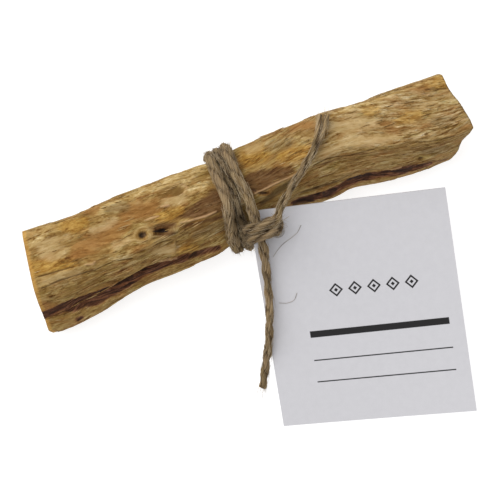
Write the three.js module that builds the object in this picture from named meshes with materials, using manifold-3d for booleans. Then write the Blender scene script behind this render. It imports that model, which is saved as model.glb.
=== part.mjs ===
// A split stick of palo santo wood, bound with jute twine that holds a card tag.
// Millimetres, +Z up, the stick along X, resting on z = 0.

import * as THREE from 'three';
import { mergeVertices } from 'three/addons/utils/BufferGeometryUtils.js';
import Module from 'manifold-3d';

const wasm = await Module();
wasm.setup();

// Driving dimensions

// From the point that the long edges are measured from to the middle of the whole part.
const PART_CENTRE = [3.12, -14.77, 0];

// The sawn ends: where each one meets the ridge, and how far it leans for each mm of y and z.
const LEFT_END = { x: -45.5, y: 9, z: 17, perY: 0.16, perZ: 0 };
const RIGHT_END = { x: 53, y: 7, z: 16, perY: -0.06, perZ: 0.55 };

// The six long edges of the split wood, as [x, y, z] along the stick.
const BACK_TOP_EDGE = [
  [-46, 22, 14.8], [-34, 21.1, 15.4], [-20, 21.2, 15.8], [-9, 20.8, 15.4], [-3.5, 21, 15.1],
  [1.5, 20, 14.9], [4.5, 21.4, 15], [7, 21.3, 15.1], [24, 21.6, 15.9], [36, 20.4, 15.2], [52, 19.8, 14.4],
];
const RIDGE = [
  [-46, 9.4, 17.8], [-34, 10, 18.6], [-22, 8.8, 18.9], [-12, 9.6, 18.4], [2, 10.4, 17.6],
  [12, 11, 17.9], [24, 13, 19], [32, 10.4, 18.7], [42, 7.8, 17.9], [52, 6.3, 17],
];
const FRONT_EDGE = [
  [-46, -1.8, 5], [-40, -1.5, 5.1], [-34, -0.7, 5.2], [-22, 0.6, 5.6], [-10, 0.5, 7], [-5.5, 0.5, 7.3],
  [-3.2, 0.9, 7.7], [-1, 1.6, 8.1], [2.5, 2.4, 8.2], [8, 3.3, 8.2], [15.5, 4.4, 7.5], [19, 3.8, 7],
  [25, 3.4, 6.3], [31, 3.8, 5.7], [34, 3.4, 5.5], [42, 2.1, 5.1], [46, 1.6, 5], [52, 1.6, 4.8],
];
const LOWER_FRONT_EDGE = [
  [-46, 2.6, -0.6], [-32, 3.6, -0.6], [-16, 4.8, 3.8], [-5, 5.2, 5.5], [9, 6.4, 5.6],
  [20, 6.8, 3.4], [34, 5.6, -0.6], [52, 4.8, -0.6],
];
const LOWER_BACK_EDGE = [
  [-46, 18, -0.6], [-32, 17.4, -0.6], [-16, 17, 3.8], [-5, 16.6, 5.6], [9, 16.6, 5.6],
  [20, 17.2, 3.4], [34, 16.6, -0.6], [52, 16, -0.6],
];
const BACK_EDGE = [
  [-46, 21.8, 5], [-30, 21, 5.6], [-14, 20.9, 8.2], [1.5, 20, 9.6], [8, 20.8, 9.2],
  [22, 21.4, 7.2], [36, 20.3, 5.2], [52, 19.6, 5],
];
const EDGE_SHARPNESS = 20;
const STICK_STATIONS = 69;
const STICK_SIDES = 40;

// The wavy split surface: each wave's height, how often it goes round, and its drift along x.
const SPLIT_WAVES = [
  { height: 0.2, round: 5, along: 0.09, start: 0.4 },
  { height: 0.14, round: 9, along: -0.13, start: 1.7 },
  { height: 0.12, round: 3, along: 0.37, start: 2.9 },
];
const CALM_CENTRE = 1.5;
const CALM_HALF_WIDTH = 9;

// Pits in the wood: knot holes, a lens-shaped hollow and a worm hole near the right end.
const PITS = [
  { at: [-19.7, 11.4, 18.2], radii: [0.75, 0.7, 1.1] },
  { at: [-15.7, 10.5, 18.2], radii: [1.5, 0.6, 0.8] },
  { at: [-9.6, 18.1, 16.8], radii: [2.3, 0.55, 0.7] },
  { at: [40.9, 4.9, 12], radii: [1, 0.8, 1] },
];

// The dark resin seam low on the front face, as a furrow cut by a round bar.
const SEAM_ROUTE = [
  [-50, 1.7, 9.2], [-45, 2, 9.5], [-34, 2.6, 9.4], [-26, 3.8, 10.8], [-19, 4.6, 12], [-11, 3.6, 11],
  [-4, 2.6, 9.4],
];
const SEAM_RADIUS = 1;

// The card tag: its corners as it leans on the stick, and its punched hole.
const TAG_WIDTH = 42.9;
const TAG_HEIGHT = 49.7;
const TAG_THICKNESS = 0.4;
const TAG_TOP_LEFT = [2.8, 7.7, 14.8];
const TAG_TOP_RIGHT = [44.1, -3.2, 8];
const TAG_LOW_RIGHT = [33, -51.4, 0.26];
const TAG_LOW_LEFT = [-7.6, -38.6, 0.26];
const TAG_COLUMNS = 8;
const TAG_ROWS = 9;
const HOLE_RADIUS = 1.75;
const HOLE_FROM_LEFT = 5.3;
const HOLE_FROM_TOP = 4.8;

// The twine, and the gap that it keeps to the wood.
const TWINE_RADIUS = 1.2;
const TWINE_SIDES = 8;
const GAP = 0.35;

// The lower tail, from its cut end up to the knot, and on to the ridge as the knot's core.
const LOWER_TAIL = [
  [-8.6, -28.9, 1.6], [-5.6, -23.4, 5.4], [-2.8, -18.1, 8.9], [-0.2, -11.4, 10.7], [1.3, -6.3, 12.5],
  [2.7, -1, 14.9], [3.1, 1.4, 16.5], [3.3, 3.9, 17.4], [3.5, 7.2, 18.6],
];
// The turns round the wood, as [turned angle in degrees, x, lift off the wood].
const TURNS = [
  [104, 3.7, 0.2], [60, 3.3, 0.1], [0, 3.2, 0], [-90, 2.2, 0], [-135, 1.4, 0.3], [-170, 0.4, 0.8], [-225, 0.7, 0],
  [-270, 1.5, 0], [-300, 1.5, 0.1], [-360, 1.3, 0.5], [-390, 0.9, 0.3], [-450, -0.5, 0.1], [-500, -2.2, 0.1],
  [-540, -2.3, 0.1], [-585, -1.6, 0.1], [-630, -0.5, 0.1], [-720, -0.7, 0.1], [-750, -0.8, 1.4],
  [-775, -0.2, 2.5], [-810, 1.8, 2.5], [-845, 4, 2.3], [-872, 5.4, 0.6],
];
const TURN_STEP = 15;
// Up through the tag's hole, twice round the core, and on as the upper tail to its cut end.
const KNOT = [
  [6.3, 1.4, 8.6], [6.6, 2, 10.8], [6.75, 2, 12.5], [6.3, 1.8, 14.1], [5, 1.8, 14.65],
  [3.2, 1.8, 14.4], [1.6, 1.9, 15.1], [1, 1.9, 16.6], [1.6, 1.9, 18.2], [3.2, 1.8, 18.8],
  [5.1, 1.8, 18.5], [6.9, 1.9, 17.7], [7.7, 2.8, 16.3], [6.9, 3.9, 15.4], [5.1, 4.1, 15.2], [3.2, 4.1, 15.2],
  [1.6, 4.1, 16], [1, 4.1, 17.6], [1.7, 4, 19], [3.3, 3.9, 19.6], [5.2, 3.7, 19.3], [7, 3.7, 18.7],
];
const UPPER_TAIL = [
  [8.2, 4.4, 18.4], [9.6, 6.2, 18.4], [13.2, 9.1, 19.2], [17.4, 12.2, 20.2], [20.8, 14.9, 19.9],
  [23.3, 17.9, 19.2], [24.9, 20.6, 18.3],
];
// How the tube is stepped: coarse along the tails and turns, fine in the knot.
const ROUTE_DIVISIONS = 4000;
const TAIL_STEP = 5;
const WRAP_STEP = 3.5;
const KNOT_STEP = 1.6;
const STRETCH_OVERLAP = 0.35;
// The point of the lower tail where it goes under the knot.
const CORE_START = 5;

// Materials

const wood = new THREE.MeshStandardMaterial({ color: 0xa07f4c, roughness: 0.85, metalness: 0 });
const jute = new THREE.MeshStandardMaterial({ color: 0x8f7d63, roughness: 0.95, metalness: 0 });
const card = new THREE.MeshStandardMaterial({ color: 0xdedde0, roughness: 0.8, metalness: 0 });

// Solids

function solidOf(geometry) {
  const bare = geometry.clone();
  bare.deleteAttribute('normal');
  bare.deleteAttribute('uv');
  const merged = mergeVertices(bare, 1e-4);
  const mesh = new wasm.Mesh({
    numProp: 3,
    vertProperties: new Float32Array(merged.attributes.position.array),
    triVerts: new Uint32Array(merged.index.array),
  });
  return new wasm.Manifold(mesh);
}

function geometryOf(solid) {
  const mesh = solid.getMesh();
  const geometry = new THREE.BufferGeometry();
  geometry.setAttribute('position', new THREE.BufferAttribute(mesh.vertProperties, 3));
  geometry.setIndex(new THREE.BufferAttribute(mesh.triVerts, 1));
  return geometry;
}

function joinAll(solids) {
  return solids.reduce((whole, next) => whole.add(next));
}

function vectors(points) {
  return points.map(([x, y, z]) => new THREE.Vector3(x, y, z));
}

// The split stick

function smoothAlong(rows) {
  const places = rows.map((row) => row[0]);
  const values = rows.flatMap((row) => row.slice(1));
  const curve = new THREE.CubicInterpolant(places, values, rows[0].length - 1);
  return (place) => Array.from(curve.evaluate(place));
}

const longEdges = [
  BACK_TOP_EDGE, RIDGE, FRONT_EDGE, LOWER_FRONT_EDGE, LOWER_BACK_EDGE, BACK_EDGE,
].map(smoothAlong);

// The cross-section at x is a polygon through the long edges, with its corners softened.
function sectionAt(x) {
  const corners = longEdges.map((edge) => edge(x));
  const middleY = corners.reduce((sum, corner) => sum + corner[0], 0) / corners.length;
  const middleZ = corners.reduce((sum, corner) => sum + corner[1], 0) / corners.length;
  const faces = corners.map(([y, z], index) => {
    const [nextY, nextZ] = corners[(index + 1) % corners.length];
    const length = Math.hypot(nextY - y, nextZ - z);
    const outY = (nextZ - z) / length;
    const outZ = (y - nextY) / length;
    return { outY, outZ, distance: outY * (y - middleY) + outZ * (z - middleZ) };
  });
  return { middleY, middleZ, faces };
}

function sectionRadius(section, angle, growth) {
  let sum = 0;
  for (const { outY, outZ, distance } of section.faces) {
    const towards = Math.cos(angle) * outY + Math.sin(angle) * outZ;
    sum += Math.max(0, towards / (distance + growth)) ** EDGE_SHARPNESS;
  }
  return sum ** (-1 / EDGE_SHARPNESS);
}

// The split surface is calm where the twine lies.
function splitHeight(x, angle) {
  const away = Math.abs(x - CALM_CENTRE) / CALM_HALF_WIDTH;
  const strength = THREE.MathUtils.smoothstep(away, 0.6, 1.4);
  let height = 0;
  for (const wave of SPLIT_WAVES) {
    height += wave.height * Math.sin(wave.round * angle + wave.along * x + wave.start);
  }
  return strength * height;
}

function endX(end, y, z) {
  return end.x + end.perY * (y - end.y) + end.perZ * (z - end.z);
}

function stickSkin() {
  const positions = [];
  const indices = [];
  for (let station = 0; station <= STICK_STATIONS; station++) {
    const along = station / STICK_STATIONS;
    const x = THREE.MathUtils.lerp(LEFT_END.x, RIGHT_END.x, along);
    const section = sectionAt(x);
    for (let side = 0; side < STICK_SIDES; side++) {
      const angle = (2 * Math.PI * side) / STICK_SIDES;
      const radius = sectionRadius(section, angle, 0) + splitHeight(x, angle);
      const y = section.middleY + radius * Math.cos(angle);
      const z = section.middleZ + radius * Math.sin(angle);
      positions.push(THREE.MathUtils.lerp(endX(LEFT_END, y, z), endX(RIGHT_END, y, z), along), y, z);
    }
  }
  for (let station = 0; station < STICK_STATIONS; station++) {
    for (let side = 0; side < STICK_SIDES; side++) {
      const here = station * STICK_SIDES + side;
      const beside = station * STICK_SIDES + ((side + 1) % STICK_SIDES);
      indices.push(here, beside, here + STICK_SIDES);
      indices.push(beside, beside + STICK_SIDES, here + STICK_SIDES);
    }
  }
  for (const [station, end] of [[0, LEFT_END], [STICK_STATIONS, RIGHT_END]]) {
    const { middleY, middleZ } = sectionAt(end.x);
    const centre = positions.length / 3;
    positions.push(endX(end, middleY, middleZ), middleY, middleZ);
    for (let side = 0; side < STICK_SIDES; side++) {
      const here = station * STICK_SIDES + side;
      const beside = station * STICK_SIDES + ((side + 1) % STICK_SIDES);
      if (station === 0) indices.push(centre, beside, here);
      else indices.push(centre, here, beside);
    }
  }
  const geometry = new THREE.BufferGeometry();
  geometry.setAttribute('position', new THREE.Float32BufferAttribute(positions, 3));
  geometry.setIndex(indices);
  return geometry;
}

function pitSolid({ at, radii }) {
  const geometry = new THREE.SphereGeometry(1, 10, 6);
  geometry.scale(...radii);
  geometry.translate(...at);
  return solidOf(geometry);
}

function tubeSolid(curve, radius, sides, steps) {
  const outline = new THREE.Shape();
  for (let side = 0; side < sides; side++) {
    const angle = (2 * Math.PI * side) / sides;
    const place = [radius * Math.cos(angle), radius * Math.sin(angle)];
    if (side === 0) outline.moveTo(...place);
    else outline.lineTo(...place);
  }
  outline.closePath();
  return solidOf(new THREE.ExtrudeGeometry(outline, { extrudePath: curve, steps, curveSegments: 1 }));
}

// The stick rests on the flats that this block planes under its two ends.
function tableBlock() {
  const geometry = new THREE.BoxGeometry(120, 60, 10);
  geometry.translate(0, 10, -5);
  return solidOf(geometry);
}

function stickGeometry() {
  const seam = tubeSolid(new THREE.CatmullRomCurve3(vectors(SEAM_ROUTE)), SEAM_RADIUS, 6, 14);
  const cuts = joinAll([seam, tableBlock(), ...PITS.map(pitSolid)]);
  return geometryOf(solidOf(stickSkin()).subtract(cuts));
}

// The tag

// A place on the leaning card: across from its left edge, down from its top edge, and up off it.
function tagPoint(across, down, up) {
  const corners = [TAG_TOP_LEFT, TAG_TOP_RIGHT, TAG_LOW_LEFT, TAG_LOW_RIGHT];
  const [topLeft, topRight, lowLeft, lowRight] = vectors(corners);
  const rightward = across / TAG_WIDTH;
  const downward = down / TAG_HEIGHT;
  const top = topLeft.clone().lerp(topRight, rightward);
  const low = lowLeft.clone().lerp(lowRight, rightward);
  const leftSide = topLeft.clone().lerp(lowLeft, downward);
  const rightSide = topRight.clone().lerp(lowRight, downward);
  const normal = low.clone().sub(top).cross(rightSide.sub(leftSide)).normalize();
  return top.lerp(low, downward).addScaledVector(normal, up);
}

function tagGeometry() {
  const geometry = new THREE.BoxGeometry(TAG_WIDTH, TAG_HEIGHT, TAG_THICKNESS, TAG_COLUMNS, TAG_ROWS, 1);
  const places = geometry.attributes.position;
  for (let index = 0; index < places.count; index++) {
    const across = places.getX(index) + TAG_WIDTH / 2;
    const down = TAG_HEIGHT / 2 - places.getY(index);
    places.setXYZ(index, ...tagPoint(across, down, places.getZ(index)));
  }
  const under = tagPoint(HOLE_FROM_LEFT, HOLE_FROM_TOP, -1);
  const over = tagPoint(HOLE_FROM_LEFT, HOLE_FROM_TOP, 1);
  const punch = tubeSolid(new THREE.LineCurve3(under, over), HOLE_RADIUS, 16, 1);
  return geometryOf(solidOf(geometry).subtract(punch));
}

// The twine

// A place on a turn: the angle round the stick goes on past full circles from turn to turn.
function turnPoint(degrees, x, lift) {
  const section = sectionAt(x);
  const angle = THREE.MathUtils.degToRad(degrees);
  const radius = sectionRadius(section, angle, TWINE_RADIUS + GAP + lift);
  const y = section.middleY + radius * Math.cos(angle);
  const z = section.middleZ + radius * Math.sin(angle);
  return new THREE.Vector3(x, y, z);
}

function turnRoute() {
  const whereAt = smoothAlong(TURNS.map(([degrees, x, lift]) => [-degrees, x, lift]));
  const first = TURNS[0][0];
  const last = TURNS[TURNS.length - 1][0];
  const steps = Math.round((first - last) / TURN_STEP);
  const route = [];
  for (let step = 0; step <= steps; step++) {
    const degrees = THREE.MathUtils.lerp(first, last, step / steps);
    const [x, lift] = whereAt(-degrees);
    route.push(turnPoint(degrees, x, Math.max(0, lift)));
  }
  return route;
}

class Stretch extends THREE.Curve {
  constructor(whole, from, to) {
    super();
    Object.assign(this, { whole, from, to });
  }

  getPoint(share) {
    return this.whole.getPointAt(THREE.MathUtils.lerp(this.from, this.to, share));
  }
}

// The tube is made in stretches that are joined, because the twine touches itself in the knot.
function twineGeometry() {
  const turns = turnRoute();
  const route = [...vectors(LOWER_TAIL), ...turns, ...vectors(KNOT), ...vectors(UPPER_TAIL)];
  const whole = new THREE.CatmullRomCurve3(route, false, 'centripetal');
  whole.arcLengthDivisions = ROUTE_DIVISIONS;
  const lengths = whole.getLengths();
  const total = lengths[ROUTE_DIVISIONS];
  const lengthTo = (index) => lengths[Math.round((index / (route.length - 1)) * ROUTE_DIVISIONS)];
  const ridge = LOWER_TAIL.length;
  const hole = ridge + turns.length;
  const knotEnd = hole + KNOT.length;
  const oneTurn = Math.round(turns.length / 3);
  const stretches = [
    [0, CORE_START, TAIL_STEP],
    [CORE_START, ridge, KNOT_STEP],
    [ridge, ridge + oneTurn, WRAP_STEP],
    [ridge + oneTurn, ridge + 2 * oneTurn, WRAP_STEP],
    [ridge + 2 * oneTurn, hole, WRAP_STEP],
    [hole, hole + KNOT.length / 2, KNOT_STEP],
    [hole + KNOT.length / 2, knotEnd, KNOT_STEP],
    [knotEnd, route.length - 1, TAIL_STEP],
  ];
  const solids = stretches.map(([from, to, step]) => {
    const start = Math.max(0, lengthTo(from) - STRETCH_OVERLAP);
    const end = Math.min(total, lengthTo(to) + STRETCH_OVERLAP);
    const stretch = new Stretch(whole, start / total, end / total);
    return tubeSolid(stretch, TWINE_RADIUS, TWINE_SIDES, Math.round((end - start) / step));
  });
  return geometryOf(joinAll(solids));
}

// The whole part

function piece(name, geometry, material) {
  const mesh = new THREE.Mesh(geometry, material);
  mesh.name = name;
  return mesh;
}

const part = new THREE.Group();
part.position.set(...PART_CENTRE.map((value) => -value));
part.add(piece('wood_stick', stickGeometry(), wood));
part.add(piece('paper_tag', tagGeometry(), card));
part.add(piece('jute_twine', twineGeometry(), jute));

export default part;
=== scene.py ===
# %% [markdown]
# # A palo santo stick with its twine and tag
#
# A stick of palo santo is split from a log, so its long faces are torn along the grain and only
# its two ends are sawn. A jute twine goes three times round its waist, takes up a card tag and
# ends in a small knot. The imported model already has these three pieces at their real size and
# place. This script loads it as a fixed frame and gives each piece its finish.

# %% Load the frame
import math

import bmesh
import bpy
import numpy as np
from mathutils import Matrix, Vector
from mathutils.bvhtree import BVHTree


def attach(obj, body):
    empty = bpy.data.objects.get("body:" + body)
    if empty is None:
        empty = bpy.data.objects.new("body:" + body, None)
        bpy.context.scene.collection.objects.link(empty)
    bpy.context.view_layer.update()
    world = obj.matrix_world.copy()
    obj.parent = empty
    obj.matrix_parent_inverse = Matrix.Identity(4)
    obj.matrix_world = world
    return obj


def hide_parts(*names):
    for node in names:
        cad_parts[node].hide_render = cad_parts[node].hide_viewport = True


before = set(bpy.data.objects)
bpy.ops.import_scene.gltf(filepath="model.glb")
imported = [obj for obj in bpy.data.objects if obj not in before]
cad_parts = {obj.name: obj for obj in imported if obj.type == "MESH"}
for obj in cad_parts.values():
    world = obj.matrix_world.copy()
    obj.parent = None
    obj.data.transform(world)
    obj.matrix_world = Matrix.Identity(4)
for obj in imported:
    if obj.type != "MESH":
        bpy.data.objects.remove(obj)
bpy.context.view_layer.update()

MM = 0.001
SEED = 7


def added(name, data):
    """A new object in the scene."""
    thing = bpy.data.objects.new(name, data)
    bpy.context.scene.collection.objects.link(thing)
    return thing


# %% [markdown]
# The photograph looks straight down on the stick from well above. The same view needs a camera
# over the point that the picture's middle shows, at a height where nothing looks stretched, and
# turned a little, because the stick rises to the right in the picture. The route of the twine is
# measured from that same point on the table, so it is named once here.

# %% The camera over the table
MIDDLE = np.array([-3.12, 14.77, 0.0]) * MM
CAMERA_HEIGHT = 420 * MM
FIELD_WIDTH = 110 * MM
STICK_SLOPE = math.radians(22)
SENSOR_WIDTH = 36.0
NEAREST_SEEN = 10 * MM

camera_data = bpy.data.cameras.new("camera")
camera_data.sensor_width = SENSOR_WIDTH
camera_data.lens = SENSOR_WIDTH * CAMERA_HEIGHT / FIELD_WIDTH
camera_data.clip_start = NEAREST_SEEN
camera = added("camera", camera_data)
camera.location = (*MIDDLE[:2], CAMERA_HEIGHT)
camera.rotation_euler = (0, 0, -STICK_SLOPE)
bpy.context.scene.camera = camera
print("lens", round(camera_data.lens, 1), "mm")

# %% [markdown]
# Everything else is set against the wood, so the wood is measured first. A tree of its faces
# answers two questions fast: where a ray first meets the wood, and how far any point is from it.
# The stick's own axis is a smooth line through the middles of its sections.

# %% Measure the wood
AXIS_BANDS = 24
AXIS_POWER = 4


def vertices_of(thing):
    """The corner places of a mesh object as rows of x, y and z."""
    places = np.empty(len(thing.data.vertices) * 3)
    thing.data.vertices.foreach_get("co", places)
    return places.reshape(-1, 3)


packed_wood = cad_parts["wood_stick"]
wood_corners = [corner.co for corner in packed_wood.data.vertices]
wood_tree = BVHTree.FromPolygons(wood_corners, [face.vertices for face in packed_wood.data.polygons])
wood_places = vertices_of(packed_wood)
wood_low, wood_high = wood_places.min(0), wood_places.max(0)
band_edges = np.linspace(wood_low[0], wood_high[0], AXIS_BANDS + 1)
band_middles = []
for low, high in zip(band_edges[:-1], band_edges[1:]):
    band = wood_places[(wood_places[:, 0] >= low) & (wood_places[:, 0] <= high)]
    band_middles.append([(low + high) / 2, *((band.min(0) + band.max(0)) / 2)[1:]])
band_x, band_y, band_z = np.transpose(band_middles)
axis_y = np.polynomial.Polynomial.fit(band_x, band_y, AXIS_POWER)
axis_z = np.polynomial.Polynomial.fit(band_x, band_z, AXIS_POWER)
print("wood", [round(side / MM, 1) for side in wood_high - wood_low], "mm")

# %% [markdown]
# ## The twine
#
# The twine is one length of two-ply jute. It comes up from its lower cut end, lies along the
# card, passes under the knot and over the top edge of the wood, and goes three times round. Then
# it comes up through the tag's hole, winds twice round its own strand and ends in the upper
# tail. Its free stretches are given points, the same as in the imported model. Its turns
# are worked out, because a turn is wherever the twine's middle is one radius off the wood.

# %% The points of the free stretches
TWINE_RADIUS = 1.2 * MM
TWINE_GAP = 0.12 * MM

LOWER_TAIL = [
    [-8.6, -28.9, 1.6], [-5.6, -23.4, 5.4], [-2.8, -18.1, 8.9], [-0.2, -11.4, 10.7],
    [1.3, -6.3, 12.5], [2.7, -1, 14.9], [3.1, 1.4, 16.5], [3.3, 3.9, 17.4], [3.5, 7.2, 18.6],
]
KNOT = [
    [6.3, 1.4, 8.6], [6.6, 2, 10.8], [6.75, 2, 12.5], [6.3, 1.8, 14.1], [5, 1.8, 14.65],
    [3.2, 1.8, 14.4], [1.6, 1.9, 15.1], [1, 1.9, 16.6], [1.6, 1.9, 18.2], [3.2, 1.8, 18.8],
    [5.1, 1.8, 18.5], [6.9, 1.9, 17.7], [7.7, 2.8, 16.3], [6.9, 3.9, 15.4], [5.1, 4.1, 15.2],
    [3.2, 4.1, 15.2], [1.6, 4.1, 16], [1, 4.1, 17.6], [1.7, 4, 19], [3.3, 3.9, 19.6],
    [5.2, 3.7, 19.3], [7, 3.7, 18.7],
]
UPPER_TAIL = [
    [8.2, 4.4, 18.4], [9.6, 6.2, 18.4], [13.2, 9.1, 19.2], [17.4, 12.2, 20.2],
    [20.8, 14.9, 19.9], [23.3, 17.9, 19.2], [24.9, 20.6, 18.3],
]


def placed(points):
    """Points in millimetres from the picture's middle, as metres in the frame."""
    return np.array(points) * MM + MIDDLE


print(len(LOWER_TAIL) + len(KNOT) + len(UPPER_TAIL), "points chosen by hand")

# %% The turns round the wood
# Each row is the turned angle in degrees, x from the picture's middle, and a lift off the wood
# where one turn crosses another.
TURNS = [
    [104, 3.7, 0.2], [60, 3.3, 0.1], [0, 3.2, 0], [-90, 2.2, 0], [-135, 1.4, 0.3], [-170, 0.4, 0.8],
    [-225, 0.7, 0],
    [-270, 1.5, 0], [-300, 1.5, 0.1], [-360, 1.3, 0.5], [-390, 0.9, 0.3], [-450, -0.5, 0.1],
    [-500, -2.2, 0.1], [-540, -2.3, 0.1], [-585, -1.6, 0.1], [-630, -0.5, 0.1], [-720, -0.7, 0.1],
    [-750, -0.8, 1.4], [-775, -0.2, 2.5], [-810, 1.8, 2.5], [-845, 4, 2.3], [-872, 5.4, 0.6],
]
# How the twine is pressed at a turned angle: its plies' size, how far apart they lie, how much
# painted light falls on them, which is painted shade below 1, and how deep it sinks in, in
# millimetres. The middle turn lies thin and sunk between its two neighbours, in painted shade.
TURN_BUILD = [
    [104, 1.12, 0.66, 1, 0], [-95, 1.12, 0.66, 1, 0], [-115, 1.5, 0.8, 0.85, 0.3],
    [-185, 1.5, 0.8, 0.75, 0.3], [-220, 0.72, 0.6, 0.55, 0.4], [-340, 0.72, 0.6, 0.55, 0.4],
    [-355, 1.2, 0.6, 1, 0], [-465, 1.2, 0.6, 1, 0], [-485, 1.4, 0.7, 0.9, 0.55],
    [-540, 1.4, 0.7, 0.95, 0.5], [-565, 1.2, 0.6, 1, 0], [-872, 1.2, 0.6, 1, 0],
]
TURN_STEP = 15
FAR_OUT = 30 * MM
HALVINGS = 24


def off_the_wood(angle, x, distance):
    """The point at that angle round the axis at x that is so far from the wood."""
    middle = Vector((x, axis_y(x), axis_z(x)))
    outwards = Vector((0, math.cos(angle), math.sin(angle)))
    near, far = 0.0, FAR_OUT
    for _ in range(HALVINGS):
        half = (near + far) / 2
        point = middle + outwards * half
        nearest, normal, _, gap = wood_tree.find_nearest(point)
        outside = (point - nearest).dot(normal) > 0
        if outside and gap > distance:
            far = half
        else:
            near = half
    return middle + outwards * far


def along_turns(table, column):
    """One column of a table of angles, at every step of the turns."""
    rows = np.array(table)
    return np.interp(-turned, -rows[:, 0], rows[:, column])


turned = np.arange(TURNS[0][0], TURNS[-1][0], -TURN_STEP)
turn_x = along_turns(TURNS, 1) * MM + MIDDLE[0]
turn_lift = (along_turns(TURNS, 2) - along_turns(TURN_BUILD, 4)) * MM
turn_route = np.array([
    off_the_wood(math.radians(angle), x, TWINE_RADIUS + TWINE_GAP + lift)
    for angle, x, lift in zip(turned, turn_x, turn_lift)
])
print(len(turn_route), "points on the turns")

# %% [markdown]
# The points become one smooth line. A centripetal Catmull-Rom curve passes through all of them
# and makes no loops where they stand close together, as they do in the knot. It is then walked at
# an even step, which gives the twine's real length and the path that its plies follow.

# %% One smooth route
ROUTE_STEP = 0.35 * MM
FINE_STEPS = 24


def smooth_route(points, steps):
    """Points along a centripetal Catmull-Rom curve through the given points."""
    first = 2 * points[0] - points[1]
    last = 2 * points[-1] - points[-2]
    ends = np.vstack([first, points, last])
    rows = []
    for before, start, stop, after in zip(ends, ends[1:], ends[2:], ends[3:]):
        knots = np.cumsum([0] + [
            math.sqrt(np.linalg.norm(b - a))
            for a, b in ((before, start), (start, stop), (stop, after))
        ])
        t = np.linspace(knots[1], knots[2], steps, endpoint=False)[:, None]

        def between(a, b, at_a, at_b):
            return (a * (at_b - t) + b * (t - at_a)) / (at_b - at_a)

        one = between(before, start, knots[0], knots[1])
        two = between(start, stop, knots[1], knots[2])
        three = between(stop, after, knots[2], knots[3])
        left = between(one, two, knots[0], knots[2])
        right = between(two, three, knots[1], knots[3])
        rows.append(between(left, right, knots[1], knots[2]))
    return np.vstack(rows + [points[-1:]])


def walked_along(points):
    """How far along the line each of its points is."""
    return np.concatenate([[0], np.cumsum(np.linalg.norm(np.diff(points, axis=0), axis=1))])


hand_points = np.vstack([placed(LOWER_TAIL), turn_route, placed(KNOT), placed(UPPER_TAIL)])
fine_route = smooth_route(hand_points, FINE_STEPS)
fine_walk = walked_along(fine_route)
twine_length = fine_walk[-1]
marks = np.linspace(0, twine_length, round(twine_length / ROUTE_STEP) + 1)
route = np.column_stack([np.interp(marks, fine_walk, fine_route[:, k]) for k in range(3)])
print("twine length", round(twine_length / MM, 1), "mm in", len(route), "steps")

# %% How thick and how open the twine is along its route
# Each row is how many points it holds for, the plies' size, how far apart they lie, and how much
# painted light falls on them: painted shade below 1, as on the knot's shaded loop, and painted
# brightening above 1, as on the forked end.
BUILD_BEFORE = [(len(LOWER_TAIL) - 4, 0.83, 0.46, 1), (3, 0.95, 0.7, 1), (1, 1.1, 0.75, 1)]
BUILD_AFTER = [
    (11, 0.9, 0.7, 1), (2, 0.92, 0.7, 0.7), (len(KNOT) - 13, 0.9, 0.7, 1), (2, 0.78, 0.65, 1),
    (len(UPPER_TAIL) - 4, 0.68, 0.6, 1), (2, 0.68, 0.6, 1.5),
]


def held_for(rows):
    """Each row of numbers, once for every point that it holds for."""
    return np.repeat([row[1:] for row in rows], [row[0] for row in rows], axis=0)


turn_build = np.column_stack([along_turns(TURN_BUILD, column) for column in (1, 2, 3)])
hand_build = np.vstack([held_for(BUILD_BEFORE), turn_build, held_for(BUILD_AFTER)])
hand_walk = fine_walk[::FINE_STEPS]
thickness, openness, dust = (np.interp(marks, hand_walk, hand_build[:, k]) for k in range(3))
print("plies from", round(thickness.min(), 2), "to", round(thickness.max(), 2), "of their size")

# %% [markdown]
# The real twine has two plies laid together in an S twist, and each ply is a loose bundle of
# bast fibres. Geometry Nodes follow a path well, so one small tree makes both: it walks the
# route, moves a copy of it out to each ply's own helix, gives the copy a ragged section that
# turns the other way, and roughens the skin along the fibres. The forked upper end is where the
# helix widens and stops turning.

# %% Helpers for node trees
def add_node(tree, kind, feeds=None, **settings):
    """A new node with its settings, its inputs fed with values or with other nodes' outputs."""
    node = tree.nodes.new(kind)
    for name, value in settings.items():
        setattr(node, name, value)
    for key, source in (feeds or {}).items():
        if isinstance(source, bpy.types.NodeSocket):
            tree.links.new(source, node.inputs[key])
        else:
            node.inputs[key].default_value = source
    return node


def maths(tree, operation, *values):
    """The result of one sum on numbers."""
    return add_node(tree, "ShaderNodeMath", dict(enumerate(values)), operation=operation).outputs[0]


def vectors(tree, operation, *values):
    """The result of one sum on vectors."""
    feeds = dict(enumerate(values))
    return add_node(tree, "ShaderNodeVectorMath", feeds, operation=operation).outputs[0]


def scaled(tree, vector, factor):
    """A vector times a number."""
    feeds = {0: vector, "Scale": factor}
    return add_node(tree, "ShaderNodeVectorMath", feeds, operation="SCALE").outputs[0]


def length_of(tree, vector):
    """How long a vector is."""
    return add_node(tree, "ShaderNodeVectorMath", {0: vector}, operation="LENGTH").outputs["Value"]


def remap(tree, value, low, high, to_low=0.0, to_high=1.0, kind="LINEAR"):
    """The value carried from one range to another, and held at the ends."""
    feeds = {0: value, 1: low, 2: high, 3: to_low, 4: to_high}
    return add_node(tree, "ShaderNodeMapRange", feeds, interpolation_type=kind).outputs[0]


def combined(tree, x, y=0.0, z=0.0):
    """A vector from three numbers."""
    return add_node(tree, "ShaderNodeCombineXYZ", {0: x, 1: y, 2: z}).outputs[0]


def noise(tree, vector, scale, detail, roughness=0.5, seed=0.0, output=0):
    """Soft noise from 0 to 1, or three of them at output 1. Its seed is the fourth coordinate."""
    feeds = {"Vector": vector, "W": seed, "Scale": scale, "Detail": detail, "Roughness": roughness}
    return add_node(tree, "ShaderNodeTexNoise", feeds, noise_dimensions="4D").outputs[output]


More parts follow.
